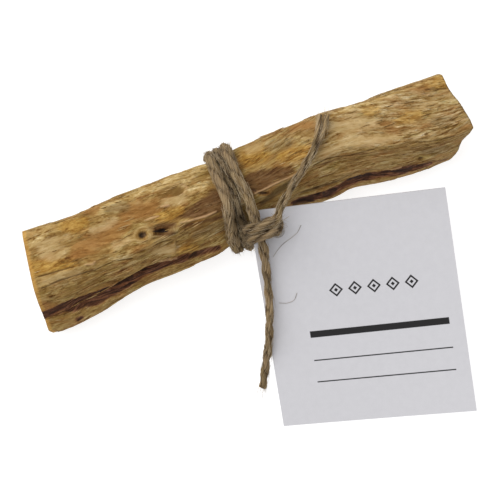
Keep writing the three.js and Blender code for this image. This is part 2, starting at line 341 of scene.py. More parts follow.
def wander(tree, vector, scale, detail, seed):
    """A soft random vector that goes each way as often as the other."""
    return vectors(tree, "SUBTRACT", noise(tree, vector, scale, detail, 0.5, seed, 1), (0.5, 0.5, 0.5))


def cells(tree, vector, seed):
    """A random number from 0 to 1 for each cell of space."""
    feeds = {"Vector": vector, "W": seed, "Scale": 1.0}
    colour = add_node(tree, "ShaderNodeTexVoronoi", feeds, voronoi_dimensions="4D").outputs["Color"]
    return add_node(tree, "ShaderNodeSeparateXYZ", {0: colour}).outputs[0]


def new_tree(name, inputs):
    """An empty geometry tree with named inputs after its geometry."""
    tree = bpy.data.node_groups.new(name, "GeometryNodeTree")
    tree.interface.new_socket("Geometry", in_out="INPUT", socket_type="NodeSocketGeometry")
    for label, kind in inputs:
        tree.interface.new_socket(label, in_out="INPUT", socket_type="NodeSocket" + kind)
    tree.interface.new_socket("Geometry", in_out="OUTPUT", socket_type="NodeSocketGeometry")
    return tree, tree.nodes.new("NodeGroupInput").outputs, tree.nodes.new("NodeGroupOutput")


def mesh_of(worker, name):
    """The evaluated mesh of an object, which is then removed."""
    graph = bpy.context.evaluated_depsgraph_get()
    mesh = bpy.data.meshes.new_from_object(
        worker.evaluated_get(graph), preserve_all_data_layers=True, depsgraph=graph,
    )
    mesh.name = name
    bpy.data.objects.remove(worker)
    return mesh


def made_by(tree, carrier, values, name):
    """Runs a tree on a carrier mesh and returns its result as a plain mesh object."""
    worker = added(name + "_worker", carrier)
    modifier = worker.modifiers.new(name, "NODES")
    modifier.node_group = tree
    for socket in tree.interface.items_tree:
        if socket.in_out == "INPUT" and socket.name in values:
            modifier[socket.identifier] = values[socket.name]
    thing = added(name, mesh_of(worker, name))
    print(name, len(thing.data.polygons), "faces")
    return thing


def kept_above_table(thing):
    """Presses the points that would go through the table up to it."""
    points = vertices_of(thing)
    points[:, 2] = np.maximum(points[:, 2], 0)
    thing.data.vertices.foreach_set("co", points.ravel())
    thing.data.update()


def named(tree, name, kind="FLOAT_VECTOR"):
    """Reads a named attribute."""
    feeds = {"Name": name}
    return add_node(tree, "GeometryNodeInputNamedAttribute", feeds, data_type=kind).outputs[0]


def stored(tree, geometry, name, value, kind="FLOAT", domain="POINT"):
    """Keeps a value on the geometry under a name."""
    feeds = {"Geometry": geometry, "Name": name, "Value": value}
    node = add_node(tree, "GeometryNodeStoreNamedAttribute", feeds, data_type=kind, domain=domain)
    return node.outputs[0]


def moved(tree, geometry, offset):
    """The geometry with each of its points moved."""
    feeds = {"Geometry": geometry, "Offset": offset}
    return add_node(tree, "GeometryNodeSetPosition", feeds).outputs[0]


def circle(tree, sides):
    """A round section of radius 1."""
    feeds = {"Resolution": sides, "Radius": 1.0}
    return add_node(tree, "GeometryNodeCurvePrimitiveCircle", feeds).outputs[0]


def tube(tree, curve, section, size, capped=False):
    """A curve made thick with a section of that size."""
    feeds = {"Curve": curve, "Profile Curve": section, "Scale": size, "Fill Caps": capped}
    return add_node(tree, "GeometryNodeCurveToMesh", feeds).outputs[0]


def finished(tree, geometry, material, output):
    """Ends a tree with real geometry and its material."""
    real = add_node(tree, "GeometryNodeRealizeInstances", {0: geometry}).outputs[0]
    clad = add_node(tree, "GeometryNodeSetMaterial", {"Geometry": real, "Material": material})
    tree.links.new(clad.outputs[0], output.inputs[0])


# %% The tree that lays the plies
PLY_SIDES = 32
RAGGED = 0.2
LUMPS_ROUND = 1.3
FIBRE_TURN = 2 * math.pi / (12 * MM)
SLUBS_PER_M = 180.0
SLUB_SIZES = (0.92, 1.08)
FIBRES_ROUND = 4.5
FIBRES_PER_M = 130.0
SEED_STEP = 3.7
# Nearly all of a noise lies between these two values.
NOISE_SPAN = (0.3, 0.7)


def ply_tree():
    """Two plies laid round the route, each a ragged bundle that turns the other way."""
    tree, given, output = new_tree("plies", [
        ("Ply Radius", "Float"), ("Lay Radius", "Float"), ("Lay Length", "Float"),
        ("Fork Start", "Float"), ("Fork Spread", "Float"), ("Roughness", "Float"),
        ("Seed", "Float"), ("Material", "Material"),
    ])
    line = add_node(tree, "GeometryNodeMeshToCurve", {0: given["Geometry"]}).outputs[0]
    along = add_node(tree, "GeometryNodeSplineParameter").outputs["Length"]
    normal = add_node(tree, "GeometryNodeInputNormal").outputs[0]
    tangent = add_node(tree, "GeometryNodeInputTangent").outputs[0]
    across = vectors(tree, "CROSS_PRODUCT", tangent, normal)
    laid = maths(tree, "MINIMUM", along, given["Fork Start"])
    turns = maths(tree, "DIVIDE", laid, given["Lay Length"])
    fork = maths(tree, "SUBTRACT", along, given["Fork Start"])
    spread = maths(tree, "MULTIPLY", maths(tree, "MAXIMUM", fork, 0.0), given["Fork Spread"])
    lay = maths(tree, "MULTIPLY", given["Lay Radius"], named(tree, "openness", "FLOAT"))
    reach = maths(tree, "ADD", lay, spread)

    line = stored(tree, line, "along", along)
    centre = add_node(tree, "GeometryNodeInputPosition").outputs[0]
    line = stored(tree, line, "middle", centre, "FLOAT_VECTOR")
    line = stored(tree, line, "tangent", tangent, "FLOAT_VECTOR")
    ring = circle(tree, PLY_SIDES)

    plies = add_node(tree, "GeometryNodeJoinGeometry")
    for ply in range(2):
        seed = maths(tree, "ADD", given["Seed"], ply * SEED_STEP)
        phase = maths(tree, "MULTIPLY_ADD", turns, -2 * math.pi, ply * math.pi)
        sideways = scaled(tree, normal, maths(tree, "COSINE", phase))
        upwards = scaled(tree, across, maths(tree, "SINE", phase))
        helix = moved(tree, line, scaled(tree, vectors(tree, "ADD", sideways, upwards), reach))
        tilt = maths(tree, "MULTIPLY", along, FIBRE_TURN)
        helix = add_node(tree, "GeometryNodeSetCurveTilt", {0: helix, "Tilt": tilt}).outputs[0]

        lumps = noise(tree, scaled(tree, centre, LUMPS_ROUND), 1.0, 3.0, 0.7, seed)
        ragged = scaled(tree, centre, remap(tree, lumps, *NOISE_SPAN, -RAGGED, RAGGED))
        section = moved(tree, stored(tree, ring, "round", centre, "FLOAT_VECTOR"), ragged)

        slubs = noise(tree, combined(tree, along), SLUBS_PER_M, 2.0, 0.5, seed)
        size = maths(tree, "MULTIPLY", given["Ply Radius"], remap(tree, slubs, *NOISE_SPAN, *SLUB_SIZES))
        size = maths(tree, "MULTIPLY", size, named(tree, "thickness", "FLOAT"))
        skin = tube(tree, helix, section, size, True)

        down = maths(tree, "MULTIPLY", named(tree, "along", "FLOAT"), FIBRES_PER_M)
        fibre = vectors(tree, "ADD", scaled(tree, named(tree, "round"), FIBRES_ROUND), combined(tree, down))
        rough = noise(tree, fibre, 1.0, 3.0, 0.6, seed)
        height = maths(tree, "MULTIPLY", maths(tree, "SUBTRACT", rough, 0.5), given["Roughness"])
        skin = stored(tree, moved(tree, skin, scaled(tree, normal, height)), "groove", rough)
        off_middle = length_of(tree, vectors(tree, "SUBTRACT", centre, named(tree, "middle")))
        skin = stored(tree, skin, "proud", maths(tree, "DIVIDE", off_middle, maths(tree, "ADD", size, lay)))
        skin = stored(tree, skin, "ply", float(ply))
        tree.links.new(skin, plies.inputs[0])
    finished(tree, plies.outputs[0], given["Material"], output)
    return tree


plies = ply_tree()

# %% [markdown]
# Materials come before the pieces that wear them. Jute is a dull grey brown with paler and darker
# strands, and painted shade makes it darker on the plies' inner sides and nearly black deep between
# them. The ridges that the tree made are kept as a number on the mesh, so the painted shade can
# follow the real relief.

# %% Colour helpers
def rgb(red, green, blue):
    """A colour given as it looks on a screen, in the linear light that shaders use."""
    def linear(value):
        value /= 255
        return value / 12.92 if value <= 0.04045 else ((value + 0.055) / 1.055) ** 2.4
    return (linear(red), linear(green), linear(blue), 1.0)


def mixed(tree, factor, first, second, blend="MIX"):
    """Two colours mixed."""
    feeds = {0: factor, 6: first, 7: second}
    return add_node(tree, "ShaderNodeMix", feeds, data_type="RGBA", blend_type=blend).outputs[2]


def ramp(tree, factor, stops):
    """A colour read off a row of stops."""
    node = add_node(tree, "ShaderNodeValToRGB", {0: factor})
    elements = node.color_ramp.elements
    while len(elements) < len(stops):
        elements.new(0.5)
    for element, (position, colour) in zip(elements, stops):
        element.position = position
        element.color = colour
    return node.outputs[0]


def attribute(tree, name, kind="Fac"):
    """A named attribute in a material, as a number or as a vector."""
    return add_node(tree, "ShaderNodeAttribute", attribute_name=name).outputs[kind]


def object_place(tree):
    """The place on the object, in metres."""
    return add_node(tree, "ShaderNodeTexCoord").outputs["Object"]


def new_material(name, roughness, specular=0.5):
    """A new material, its tree, and its shader with the two numbers of its sheen."""
    material = bpy.data.materials.new(name)
    material.use_nodes = True
    tree = material.node_tree
    shader = next(node for node in tree.nodes if node.type == "BSDF_PRINCIPLED")
    shader.inputs["Roughness"].default_value = roughness
    shader.inputs["Specular IOR Level"].default_value = specular
    return material, tree, shader


def bumped(tree, shader, height, distance):
    """Fine relief that the mesh is too coarse for."""
    feeds = {"Height": height, "Distance": distance, "Strength": 1.0}
    tree.links.new(add_node(tree, "ShaderNodeBump", feeds).outputs[0], shader.inputs["Normal"])


# %% Jute
# The strands of each tone: how many round a ply, how many in a metre of it, and their seed.
STREAKS = (6.0, 200.0, 2.0)
PALE_STRANDS = (10.0, 110.0, 6.0)
DARK_STRANDS = (9.0, 190.0, 12.0)
TONES_PER_M = 60.0
JUTE_BUMP = 0.08 * MM


def jute_material():
    """Twisted bast fibre: streaks along each ply, with painted shade in its grooves."""
    material, tree, shader = new_material("jute", 0.9, 0.2)
    round_ply = attribute(tree, "round", "Vector")
    along = attribute(tree, "along")
    ply = attribute(tree, "ply")

    def strands(across, per_m, seed):
        down = combined(tree, maths(tree, "MULTIPLY", along, per_m))
        place = vectors(tree, "ADD", scaled(tree, round_ply, across), down)
        return noise(tree, place, 1.0, 4.0, 0.65, maths(tree, "ADD", ply, seed))

    streak = strands(*STREAKS)
    colour = ramp(tree, streak, [
        (0.30, rgb(68, 51, 31)), (0.44, rgb(133, 110, 78)), (0.56, rgb(175, 151, 115)),
        (0.70, rgb(216, 195, 162)),
    ])
    pale = remap(tree, strands(*PALE_STRANDS), 0.54, 0.61, 0.0, 0.65)
    colour = mixed(tree, pale, colour, rgb(212, 190, 160))
    dark = remap(tree, strands(*DARK_STRANDS), 0.43, 0.35, 0.0, 0.65)
    colour = mixed(tree, dark, colour, rgb(62, 46, 30))
    tone = noise(tree, combined(tree, maths(tree, "MULTIPLY", along, TONES_PER_M)), 1.0, 1.0, 0.5, ply)
    colour = mixed(tree, remap(tree, tone, 0.35, 0.65, 0.0, 0.55), colour, rgb(112, 96, 60))
    # Painted shade: darker in the low parts of each ply's rough skin and on the inner sides where the plies
    # press together.
    colour = mixed(tree, 1.0, colour, ramp(tree, attribute(tree, "groove"), [
        (0.30, rgb(110, 100, 90)), (0.50, rgb(225, 222, 218)), (0.62, rgb(255, 255, 255)),
    ]), "MULTIPLY")
    colour = mixed(tree, 0.8, colour, ramp(tree, attribute(tree, "proud"), [
        (0.66, rgb(120, 104, 88)), (0.86, rgb(250, 248, 246)), (1.0, rgb(255, 255, 255)),
    ]), "MULTIPLY")
    # Painted light: the twine's colour is scaled by its number along the route, which is painted shade below
    # 1 and painted brightening above 1.
    tree.links.new(scaled(tree, colour, attribute(tree, "dust")), shader.inputs["Base Color"])
    bumped(tree, shader, streak, JUTE_BUMP)
    return material

# %% Lay the plies
PLY_RADIUS = 0.78 * MM
LAY_RADIUS = 0.5 * MM
LAY_LENGTH = 9.4 * MM
FORK_LENGTH = 6 * MM
FORK_SPREAD = 0.085
PLY_ROUGHNESS = 0.65 * MM


def line_mesh(name, points, **values):
    """A mesh that is only a line of points, with a number for each point under each name."""
    mesh = bpy.data.meshes.new(name)
    mesh.from_pydata(points.tolist(), [(k, k + 1) for k in range(len(points) - 1)], [])
    for label, numbers in values.items():
        mesh.attributes.new(label, "FLOAT", "POINT").data.foreach_set("value", numbers.astype(np.float32))
    return mesh


route_mesh = line_mesh("route", route, thickness=thickness, openness=openness, dust=dust)
twine = made_by(plies, route_mesh, {
    "Ply Radius": PLY_RADIUS, "Lay Radius": LAY_RADIUS, "Lay Length": LAY_LENGTH,
    "Fork Start": twine_length - FORK_LENGTH, "Fork Spread": FORK_SPREAD,
    "Roughness": PLY_ROUGHNESS, "Seed": float(SEED), "Material": jute_material(),
}, "twine")

# %% [markdown]
# Jute is never smooth. Loose fibres lie along it and rise a little at their ends, and they catch the
# light round every turn. They are far too many to place by hand, so a second tree scatters points
# over the plies, sets a straight hair on each one, leans it along the twine, and curls it with
# noise. The hairs are three-sided, so thousands of them stay light.

# %% The tree that raises the fuzz
HAIR_POINTS = 6
HAIR_SIDES = 3
HAIR_TAPER = (0.5, 0.2)
LEAST_STAND = 0.02
CURL_PER_M = 420.0
CURL_POWER = 1.4
CURL_SEED = 1.3


def drawn(tree, given, low, high, step):
    """A random number for each point, with a seed of its own."""
    feeds = {2: low, 3: high, "Seed": maths(tree, "ADD", given["Seed"], float(step))}
    return add_node(tree, "FunctionNodeRandomValue", feeds, data_type="FLOAT").outputs[1]


def scattered(tree, given, density):
    """Points spread over the tree's faces."""
    feeds = {"Mesh": given["Geometry"], "Density": density, "Seed": given["Seed"]}
    return add_node(tree, "GeometryNodeDistributePointsOnFaces", feeds).outputs


def straight(tree, start, end, count):
    """A straight line cut into a few points."""
    line = add_node(tree, "GeometryNodeCurvePrimitiveLine", {"Start": start, "End": end}).outputs[0]
    return add_node(tree, "GeometryNodeResampleCurve", {"Curve": line, "Count": count}).outputs[0]


def aligned(tree, feeds, **settings):
    """A rotation that brings one axis to a vector."""
    return add_node(tree, "FunctionNodeAlignRotationToVector", feeds, **settings).outputs[0]


def copies(tree, spots, instance, turn, size):
    """A copy of the instance on every spot."""
    feeds = {"Points": spots["Points"], "Instance": instance, "Rotation": turn, "Scale": size}
    return add_node(tree, "GeometryNodeInstanceOnPoints", feeds).outputs[0]


def fuzz_tree():
    """Hairs scattered over the twine, leaning along it and curling at random."""
    tree, given, output = new_tree("fuzz", [
        ("Density", "Float"), ("Shortest", "Float"), ("Longest", "Float"), ("Thickness", "Float"),
        ("Curl", "Float"), ("Stand", "Float"), ("Seed", "Int"), ("Material", "Material"),
    ])
    spots = scattered(tree, given, given["Density"])
    side = maths(tree, "SIGN", drawn(tree, given, -1.0, 1.0, 1))
    lean = scaled(tree, named(tree, "tangent"), side)
    stand = scaled(tree, spots["Normal"], drawn(tree, given, LEAST_STAND, given["Stand"], 2))
    turn = aligned(tree, {"Vector": vectors(tree, "ADD", lean, stand)}, axis="Z")
    length = drawn(tree, given, given["Shortest"], given["Longest"], 3)
    hair = straight(tree, (0.0, 0.0, 0.0), (0.0, 0.0, 1.0), HAIR_POINTS)
    hairs = copies(tree, spots, hair, turn, length)
    hairs = add_node(tree, "GeometryNodeRealizeInstances", {0: hairs}).outputs[0]

    place = add_node(tree, "GeometryNodeInputPosition").outputs[0]
    share = add_node(tree, "GeometryNodeSplineParameter").outputs["Factor"]
    curl = wander(tree, place, CURL_PER_M, 1.0, maths(tree, "MULTIPLY", given["Seed"], CURL_SEED))
    reach = maths(tree, "MULTIPLY", maths(tree, "POWER", share, CURL_POWER), given["Curl"])
    hairs = moved(tree, hairs, scaled(tree, curl, reach))
    size = maths(tree, "MULTIPLY", given["Thickness"], remap(tree, share, 0.0, 1.0, *HAIR_TAPER))
    hairs = tube(tree, hairs, circle(tree, HAIR_SIDES), size)
    finished(tree, hairs, given["Material"], output)
    return tree


# %% Loose fibre
HAIRS_PER_M2 = 1.5e6
FIBRE_TONES_PER_M = 300.0


def fibre_material(name, dark, pale):
    """Single fibres, a little shiny, from a darker to a paler tone."""
    material, tree, shader = new_material(name, 0.6)
    tone = noise(tree, object_place(tree), FIBRE_TONES_PER_M, 1.0)
    tree.links.new(ramp(tree, tone, [(0.35, dark), (0.62, pale)]), shader.inputs["Base Color"])
    return material


fuzz = made_by(fuzz_tree(), twine.data.copy(), {
    "Density": HAIRS_PER_M2, "Shortest": 0.9 * MM, "Longest": 3.2 * MM, "Thickness": 0.09 * MM,
    "Curl": 0.8 * MM, "Stand": 0.16, "Seed": SEED,
    "Material": fibre_material("jute_fuzz", rgb(112, 92, 66), rgb(196, 176, 144)),
}, "twine_fuzz")
kept_above_table(fuzz)

# %% [markdown]
# Two long fibres have come loose and lie over the card beside the lower tail. They are single
# hairs, so each one is a thin tube along its own few points.

# %% Two stray fibres
STRAY_FIBRES = [
    [(4, -3.23, 11.42), (6.47, -1.69, 11.78), (9.09, -0.9, 11.85), (10.68, -0.39, 11.91),
     (12.1, 0.87, 12.19)],
    [(1.52, -12.93, 8.51), (3.12, -13.59, 8.3), (4.76, -13.55, 8.27), (5.92, -12.39, 8.59)],
]
STRAY_RADIUS = 0.05 * MM
STRAY_STEPS = 8
STRAY_LIFT = 0.2 * MM


def stray_curve():
    """Smooth thin tubes through the points of each fibre."""
    curve = bpy.data.curves.new("stray_fibres", "CURVE")
    curve.dimensions = "3D"
    curve.bevel_depth = STRAY_RADIUS
    curve.bevel_resolution = 1
    for points in STRAY_FIBRES:
        fine = smooth_route(placed(points) + [0, 0, STRAY_LIFT], STRAY_STEPS)
        spline = curve.splines.new("POLY")
        spline.points.add(len(fine) - 1)
        for knot, place in zip(spline.points, fine):
            knot.co = (*place, 1)
    return curve


stray_mesh = mesh_of(added("stray_worker", stray_curve()), "stray_fibres")
stray_mesh.materials.clear()
stray_mesh.materials.append(fibre_material("stray_fibre", rgb(122, 112, 102), rgb(176, 166, 156)))
stray = added("stray_fibres", stray_mesh)
print(len(STRAY_FIBRES), "stray fibres")

# %% [markdown]
# ## The wood
#
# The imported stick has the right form, with facets more than a millimetre wide. A torn surface
# needs detail down to a fifth of a millimetre, so the stick gets a new skin. Rays from outside
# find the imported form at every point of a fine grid, whose rows run along the stick and whose
# columns lie between the two sawn ends. A light blur takes the facets away.

# %% The sawn ends, measured
FACING = 0.8


def end_plane(side):
    """A sawn end as x where y and z are 0, and how x changes with y and z."""
    faces = [
        face for face in packed_wood.data.polygons
        if face.normal.x * side > FACING and face.center.x * side > FACING * wood_high[0]
    ]
    normal = sum((face.normal * face.area for face in faces), Vector())
    centre = sum((face.center * face.area for face in faces), Vector()) / sum(f.area for f in faces)
    slope = np.array([-normal.y / normal.x, -normal.z / normal.x])
    return centre.x - slope @ centre[1:], slope


ends = [end_plane(-1), end_plane(1)]
print("ends lean", [np.round(slope, 2).tolist() for _, slope in ends])


# %% The skin as a grid of radii
ALONG_CELLS = 240
ROUND_CELLS = 350
END_MARGIN = 0.004
OUTSIDE = 40 * MM
SKIN_PASSES = (4, 6)


def blurred(field, along_passes, round_passes):
    """The grid with its facets smoothed away, held at the ends and closed round the stick."""
    for _ in range(along_passes):
        held = np.vstack([field[:1], field, field[-1:]])
        field = (held[:-2] + 2 * field + held[2:]) / 4
    for _ in range(round_passes):
        field = (np.roll(field, 1, 1) + 2 * field + np.roll(field, -1, 1)) / 4
    return field


def station(share):
    """The middle of the slanted section at that share of the length, and its slopes."""
    base = (1 - share) * ends[0][0] + share * ends[1][0]
    slope = (1 - share) * ends[0][1] + share * ends[1][1]
    y, z = axis_y(base), axis_z(base)
    return np.array([base + slope @ [y, z], y, z]), slope


share = np.linspace(0, 1, ALONG_CELLS + 1)
angle = np.linspace(0, 2 * math.pi, ROUND_CELLS, endpoint=False)
radius = np.empty((len(share), len(angle)))
for row, part in enumerate(np.clip(share, END_MARGIN, 1 - END_MARGIN)):
    middle, slope = station(part)
    for column, turn in enumerate(angle):
        flat = np.array([math.cos(turn), math.sin(turn)])
        outwards = Vector((slope @ flat, *flat))
        hit = wood_tree.ray_cast(Vector(middle) + outwards * OUTSIDE, -outwards)[0]
        radius[row, column] = math.hypot(hit.y - middle[1], hit.z - middle[2])
radius = blurred(radius, *SKIN_PASSES)
print("radius from", round(radius.min() / MM, 1), "to", round(radius.max() / MM, 1), "mm")

# %% Places on the skin
RIDGE_LOOK = (-0.35, 0.94)
RIDGE_PASSES = 500
GRAIN_PASSES = 120
UP_SHARPNESS = 5
UPRIGHT_SPREAD = 0.3

outward = np.stack([np.zeros_like(radius), np.cos(angle) + 0 * radius, np.sin(angle) + 0 * radius], 2)
skin = np.empty_like(outward)
for row, part in enumerate(share):
    middle, slope = station(part)
    outward[row, :, 0] = outward[row, :, 1:] @ slope
    skin[row] = middle + outward[row] * radius[row][:, None]
steps = np.linalg.norm(np.roll(skin, -1, 1) - skin, axis=2)
walked = np.cumsum(steps, axis=1) - steps
perimeter = steps.sum(axis=1, keepdims=True)
ridge_corner = (skin[:, :, 1:] @ np.array(RIDGE_LOOK)).argmax(axis=1)
ridge_angle = blurred(angle[ridge_corner][:, None], RIDGE_PASSES, 0)[:, 0]
ridge_walk = np.array([np.interp(turn, angle, row) for turn, row in zip(ridge_angle, walked)])
round_share = blurred((walked - ridge_walk[:, None]) / perimeter, GRAIN_PASSES, 0)
round_share = (round_share + 0.5) % 1 - 0.5
arc = round_share * perimeter
along = skin[:, :, 0]
normal = np.cross(np.roll(skin, -1, 1) - np.roll(skin, 1, 1), np.gradient(skin, axis=0))
normal /= np.linalg.norm(normal, axis=2, keepdims=True)
normal *= np.sign((normal * outward).sum(2, keepdims=True))
looks_up = np.clip(normal[:, :, 2] * UP_SHARPNESS, 0, 1)
upright = np.exp(-(normal[:, :, 2] / UPRIGHT_SPREAD) ** 2)
print("perimeter", round(perimeter.mean() / MM, 1), "mm")

# %% [markdown]
# The marks of this one stick are listed in millimetres as seen from above: knot holes
# large and small, a scooped hollow, a broken step, raised splinters, cracks, the stains of
# resin and weather, and strips of painted highlight and painted shade. Each mark is first
# carried down to the skin. There it is a point or a line in two measures that lie in the surface:
# x along the stick, and the walk round it from the ridge. The distance to it is then true on any slope.

# %% Helpers for marks
def on_skin(points):
    """For points seen from above: x along the stick and the walk round from the ridge."""
    rows = []
    for x, y in np.array(points)[:, :2] * MM:
        away = (skin[:, :, 0] - x) ** 2 + (skin[:, :, 1] - y) ** 2 + (looks_up < 0.5)
        row, column = np.unravel_index(away.argmin(), away.shape)
        rows.append([skin[row, column, 0], arc[row, column]])
    return np.array(rows)


def smooth(value):
    """An even step from 0 to 1."""
    value = np.clip(value, 0, 1)
    return value * value * (3 - 2 * value)


def oval(one_end, other_end, half_wide):
    """How far out each skin point is in an oval between two ends: 0 in the middle, 1 on the rim."""
    (x0, walk0), (x1, walk1) = on_skin([one_end, other_end])
    half_long = math.hypot(x1 - x0, walk1 - walk0) / 2
    lengthways = np.array([x1 - x0, walk1 - walk0]) / (2 * half_long)
    x, walk = along - (x0 + x1) / 2, arc - (walk0 + walk1) / 2
    far = (x * lengthways[0] + walk * lengthways[1]) / half_long
    wide = (walk * lengthways[0] - x * lengthways[1]) / (half_wide * MM)
    return np.hypot(far, wide)


def stroke(points, softness):
    """1 along a line whose points are x, y and half width in mm, and 0 past its soft edge."""
    ends = on_skin(points)
    widths = np.array(points)[:, 2] * MM
    best = np.zeros_like(arc)
    for (x0, a0), (x1, a1), w0, w1 in zip(ends, ends[1:], widths, widths[1:]):
        length = (x1 - x0) ** 2 + (a1 - a0) ** 2
        t = np.clip(((along - x0) * (x1 - x0) + (arc - a0) * (a1 - a0)) / length, 0, 1)
        away = np.hypot(along - x0 - t * (x1 - x0), arc - a0 - t * (a1 - a0))
        best = np.maximum(best, smooth(1 - (away - (w0 + t * (w1 - w0))) / (softness * MM)))
    return best


def strokes(lines, softness):
    """Several strokes together, on the side that looks up."""
    return np.max([stroke(line, softness) for line in lines], axis=0) * looks_up


# %% Knots, and the grain that flows round them
# The two ends of each, its half width, its depth and how dark it is.
KNOTS = [
    ((-23.9, 26.35), (-21.9, 26.05), 1.0, 0.7, 0.75), ((-20.4, 26.0), (-16.9, 24.8), 0.66, 0.6, 0.5),
    ((37.6, 19.3), (39, 18.9), 0.5, 0.5, 0.6), ((40.1, 23.5), (41, 23.2), 0.4, 0.2, 0.5),
    ((27.4, 31.7), (28.6, 31.4), 0.35, 0.15, 0.3), ((1.7, 26.8), (3.2, 25.4), 0.5, 0.4, 0.6),
    ((2.7, 25.5), (5.1, 24.3), 0.5, 0.5, 0.7),
    ((23.1, 20.3), (25.9, 20.3), 0.4, 0.2, 0.85), ((15.4, 20.1), (17, 20.2), 0.3, 0.15, 0.85),
]
KNOT_SLIT = [[(-20.4, 26.1, -0.2), (-19.4, 25.75, 0.15), (-18.6, 25.4, 0.3), (-17.6, 25, -0.1)]]
SLIT_SOFTNESS = 0.7
SLIT_DARKNESS = 0.9
# In shares of a knot's size: where its dark and its dent end, and where the grain flows round it.
HOLLOW_EDGE = 1.45
DENT_EDGE = 1.3
FLOW_REACH = 1.4
LEAST_RIM = 0.01
LEAST_FLOW = 0.15
# The pale ring round the first knot: how far out it is and how wide, in shares of the knot.
RING_OUT = 1.7
RING_WIDE = 0.3
FAN_FROM = 22
FAN = 0.014

hollow = np.zeros_like(arc)
dent = np.zeros_like(arc)
flow = arc * (1 + FAN * np.clip(along / MM - FAN_FROM, 0, None) * (arc < 0))
for one_end, other_end, half_wide, depth, darkness in KNOTS:
    rim = oval(one_end, other_end, half_wide)
    hollow = np.maximum(hollow, darkness * smooth(HOLLOW_EDGE - rim) * looks_up)
    dent += depth * MM * smooth(DENT_EDGE - rim) * looks_up
    walk = on_skin([one_end, other_end])[:, 1].mean()
    bend = np.maximum(LEAST_FLOW, 1 - (FLOW_REACH / np.maximum(rim, LEAST_RIM)) ** 4)
    flow = walk + (flow - walk) * (1 - looks_up * (1 - bend))
hollow = np.maximum(hollow, SLIT_DARKNESS * strokes(KNOT_SLIT, SLIT_SOFTNESS))
knot_ring = np.exp(-((oval(*KNOTS[0][:3]) - RING_OUT) / RING_WIDE) ** 2) * looks_up
print("deepest knot", round(dent.max() / MM, 2), "mm")

# %% The hollow, the step, the cracks and the splinters
# Each line is x, y and half width in millimetres.
SCOOP = ((-17.3, 33), (-10.9, 31.9), 1.3)
SCOOP_DEPTH = 0.9
SPLINTERS = [
    [(-14.4, 25.6, 0), (-12.6, 25.2, 0.08), (-9.4, 24.95, 0.06), (-6.8, 25, 0)],
    [(2.4, 25.4, 0), (6.4, 25.7, 0.08), (11.4, 25.95, 0)],
    [(-36.3, 24.8, 0), (-35, 24.5, 0.1), (-34.2, 24.7, 0)],
    [(-21.1, 28.9, 0), (-19.6, 28.7, 0.1), (-18.3, 28.6, 0)], [(-17.3, 30.3, 0), (-15.6, 29.9, 0.1)],
    [(43, 31.7, 0), (44.4, 31.2, 0.1)], [(31.4, 19.6, 0), (33.7, 19.2, 0.1)],
    [(-21.9, 19.9, 0), (-20, 19.4, 0.08), (-18.3, 19, 0.05)],
]
CRACKS = [
    [(-46.5, 26.2, 0), (-42.2, 25.8, 0.05), (-38.9, 25.5, 0)],
    [(-47.1, 23.8, 0), (-42.7, 23.8, 0.06), (-37.6, 23.4, 0.06), (-35, 23.1, 0.05), (-31, 23.3, 0)],
    [(-29.7, 23.1, 0), (-27, 22.4, 0.08)], [(-21, 23.1, 0), (-19.6, 23.2, 0.16), (-17.9, 23.1, 0.05)],
    [(44.4, 32.3, 0), (48.3, 31.2, 0.1)],
    [(16, 26.4, 0), (19.5, 26.5, 0.1), (24, 25.4, 0.1), (29.3, 24.6, 0)], [(38, 22.5, 0), (46, 20.8, 0.05)],
]
SPLINTER_HEIGHT = 0.3
CRACK_DEPTH = 0.3
LINE_SOFTNESS = 0.3
# The height of each swelling, its soft edge, and its line.
SWELLS = [(0.4, 5, [(-43, 14.6, 0.5), (-38.3, 14.8, 0)]), (0.4, 4, [(13.7, 19.2, 0), (18, 19.2, 0)])]
STEP_AT = (-17.4, 21.3)
STEP_LENGTH = 5
STEP_HALF_WIDTH = 1.7
STEP_SLANT = 0.25
STEP_HEIGHT = 0.5
STEP_SIDES = 3
# How steep the scoop's sides are at its shallow end, and how much steeper at its deep end.
SCOOP_SIDES = (1.2, 2.4)
SCOOP_FLOOR_EDGE = 5
# The pale lip of the scoop: how far out it is and how wide, in shares of the scoop.
LIP_OUT = 1.12
LIP_WIDE = 0.1
LIP_HEIGHT = 0.15

scoop = oval(*SCOOP)
scoop_x = (SCOOP[0][0] + SCOOP[1][0]) / 2
past_middle = (along / MM - scoop_x) / (SCOOP[1][0] - scoop_x)
scoop_steepness = SCOOP_SIDES[0] + SCOOP_SIDES[1] * smooth(past_middle)
dent += SCOOP_DEPTH * MM * smooth((1 - scoop) * scoop_steepness) * looks_up
scoop_back = smooth((on_skin([SCOOP[0]])[0, 1] - arc) / MM / SCOOP[2] + 0.4)
lip_ring = np.exp(-((scoop - LIP_OUT) / LIP_WIDE) ** 2)
scoop_lip = lip_ring * smooth(2 * past_middle + scoop_back - 0.6) * looks_up
# Painted shade inside the scoop, strongest under its steep far and back walls, over the darker olive-brown
# of its floor.
scoop_tint_and_shade = smooth((1 - scoop) * SCOOP_FLOOR_EDGE) * smooth(past_middle + scoop_back + 0.5) * looks_up
splinter = strokes(SPLINTERS, LINE_SOFTNESS)
crack = strokes(CRACKS, LINE_SOFTNESS)
(step_x, step_walk), = on_skin([STEP_AT])
behind = (step_x - along - STEP_SLANT * (arc - step_walk)) / MM
beside_step = smooth((STEP_HALF_WIDTH - np.abs(arc - step_walk) / MM) * STEP_SIDES) * looks_up
step = (behind > 0) * smooth(1 - behind / STEP_LENGTH) * beside_step
raised = SPLINTER_HEIGHT * MM * splinter + STEP_HEIGHT * MM * step + LIP_HEIGHT * MM * scoop_lip
for height, softness, line in SWELLS:
    raised += height * MM * stroke(line, softness)
dent += CRACK_DEPTH * MM * crack
print("raised up to", round(raised.max() / MM, 2), "mm")
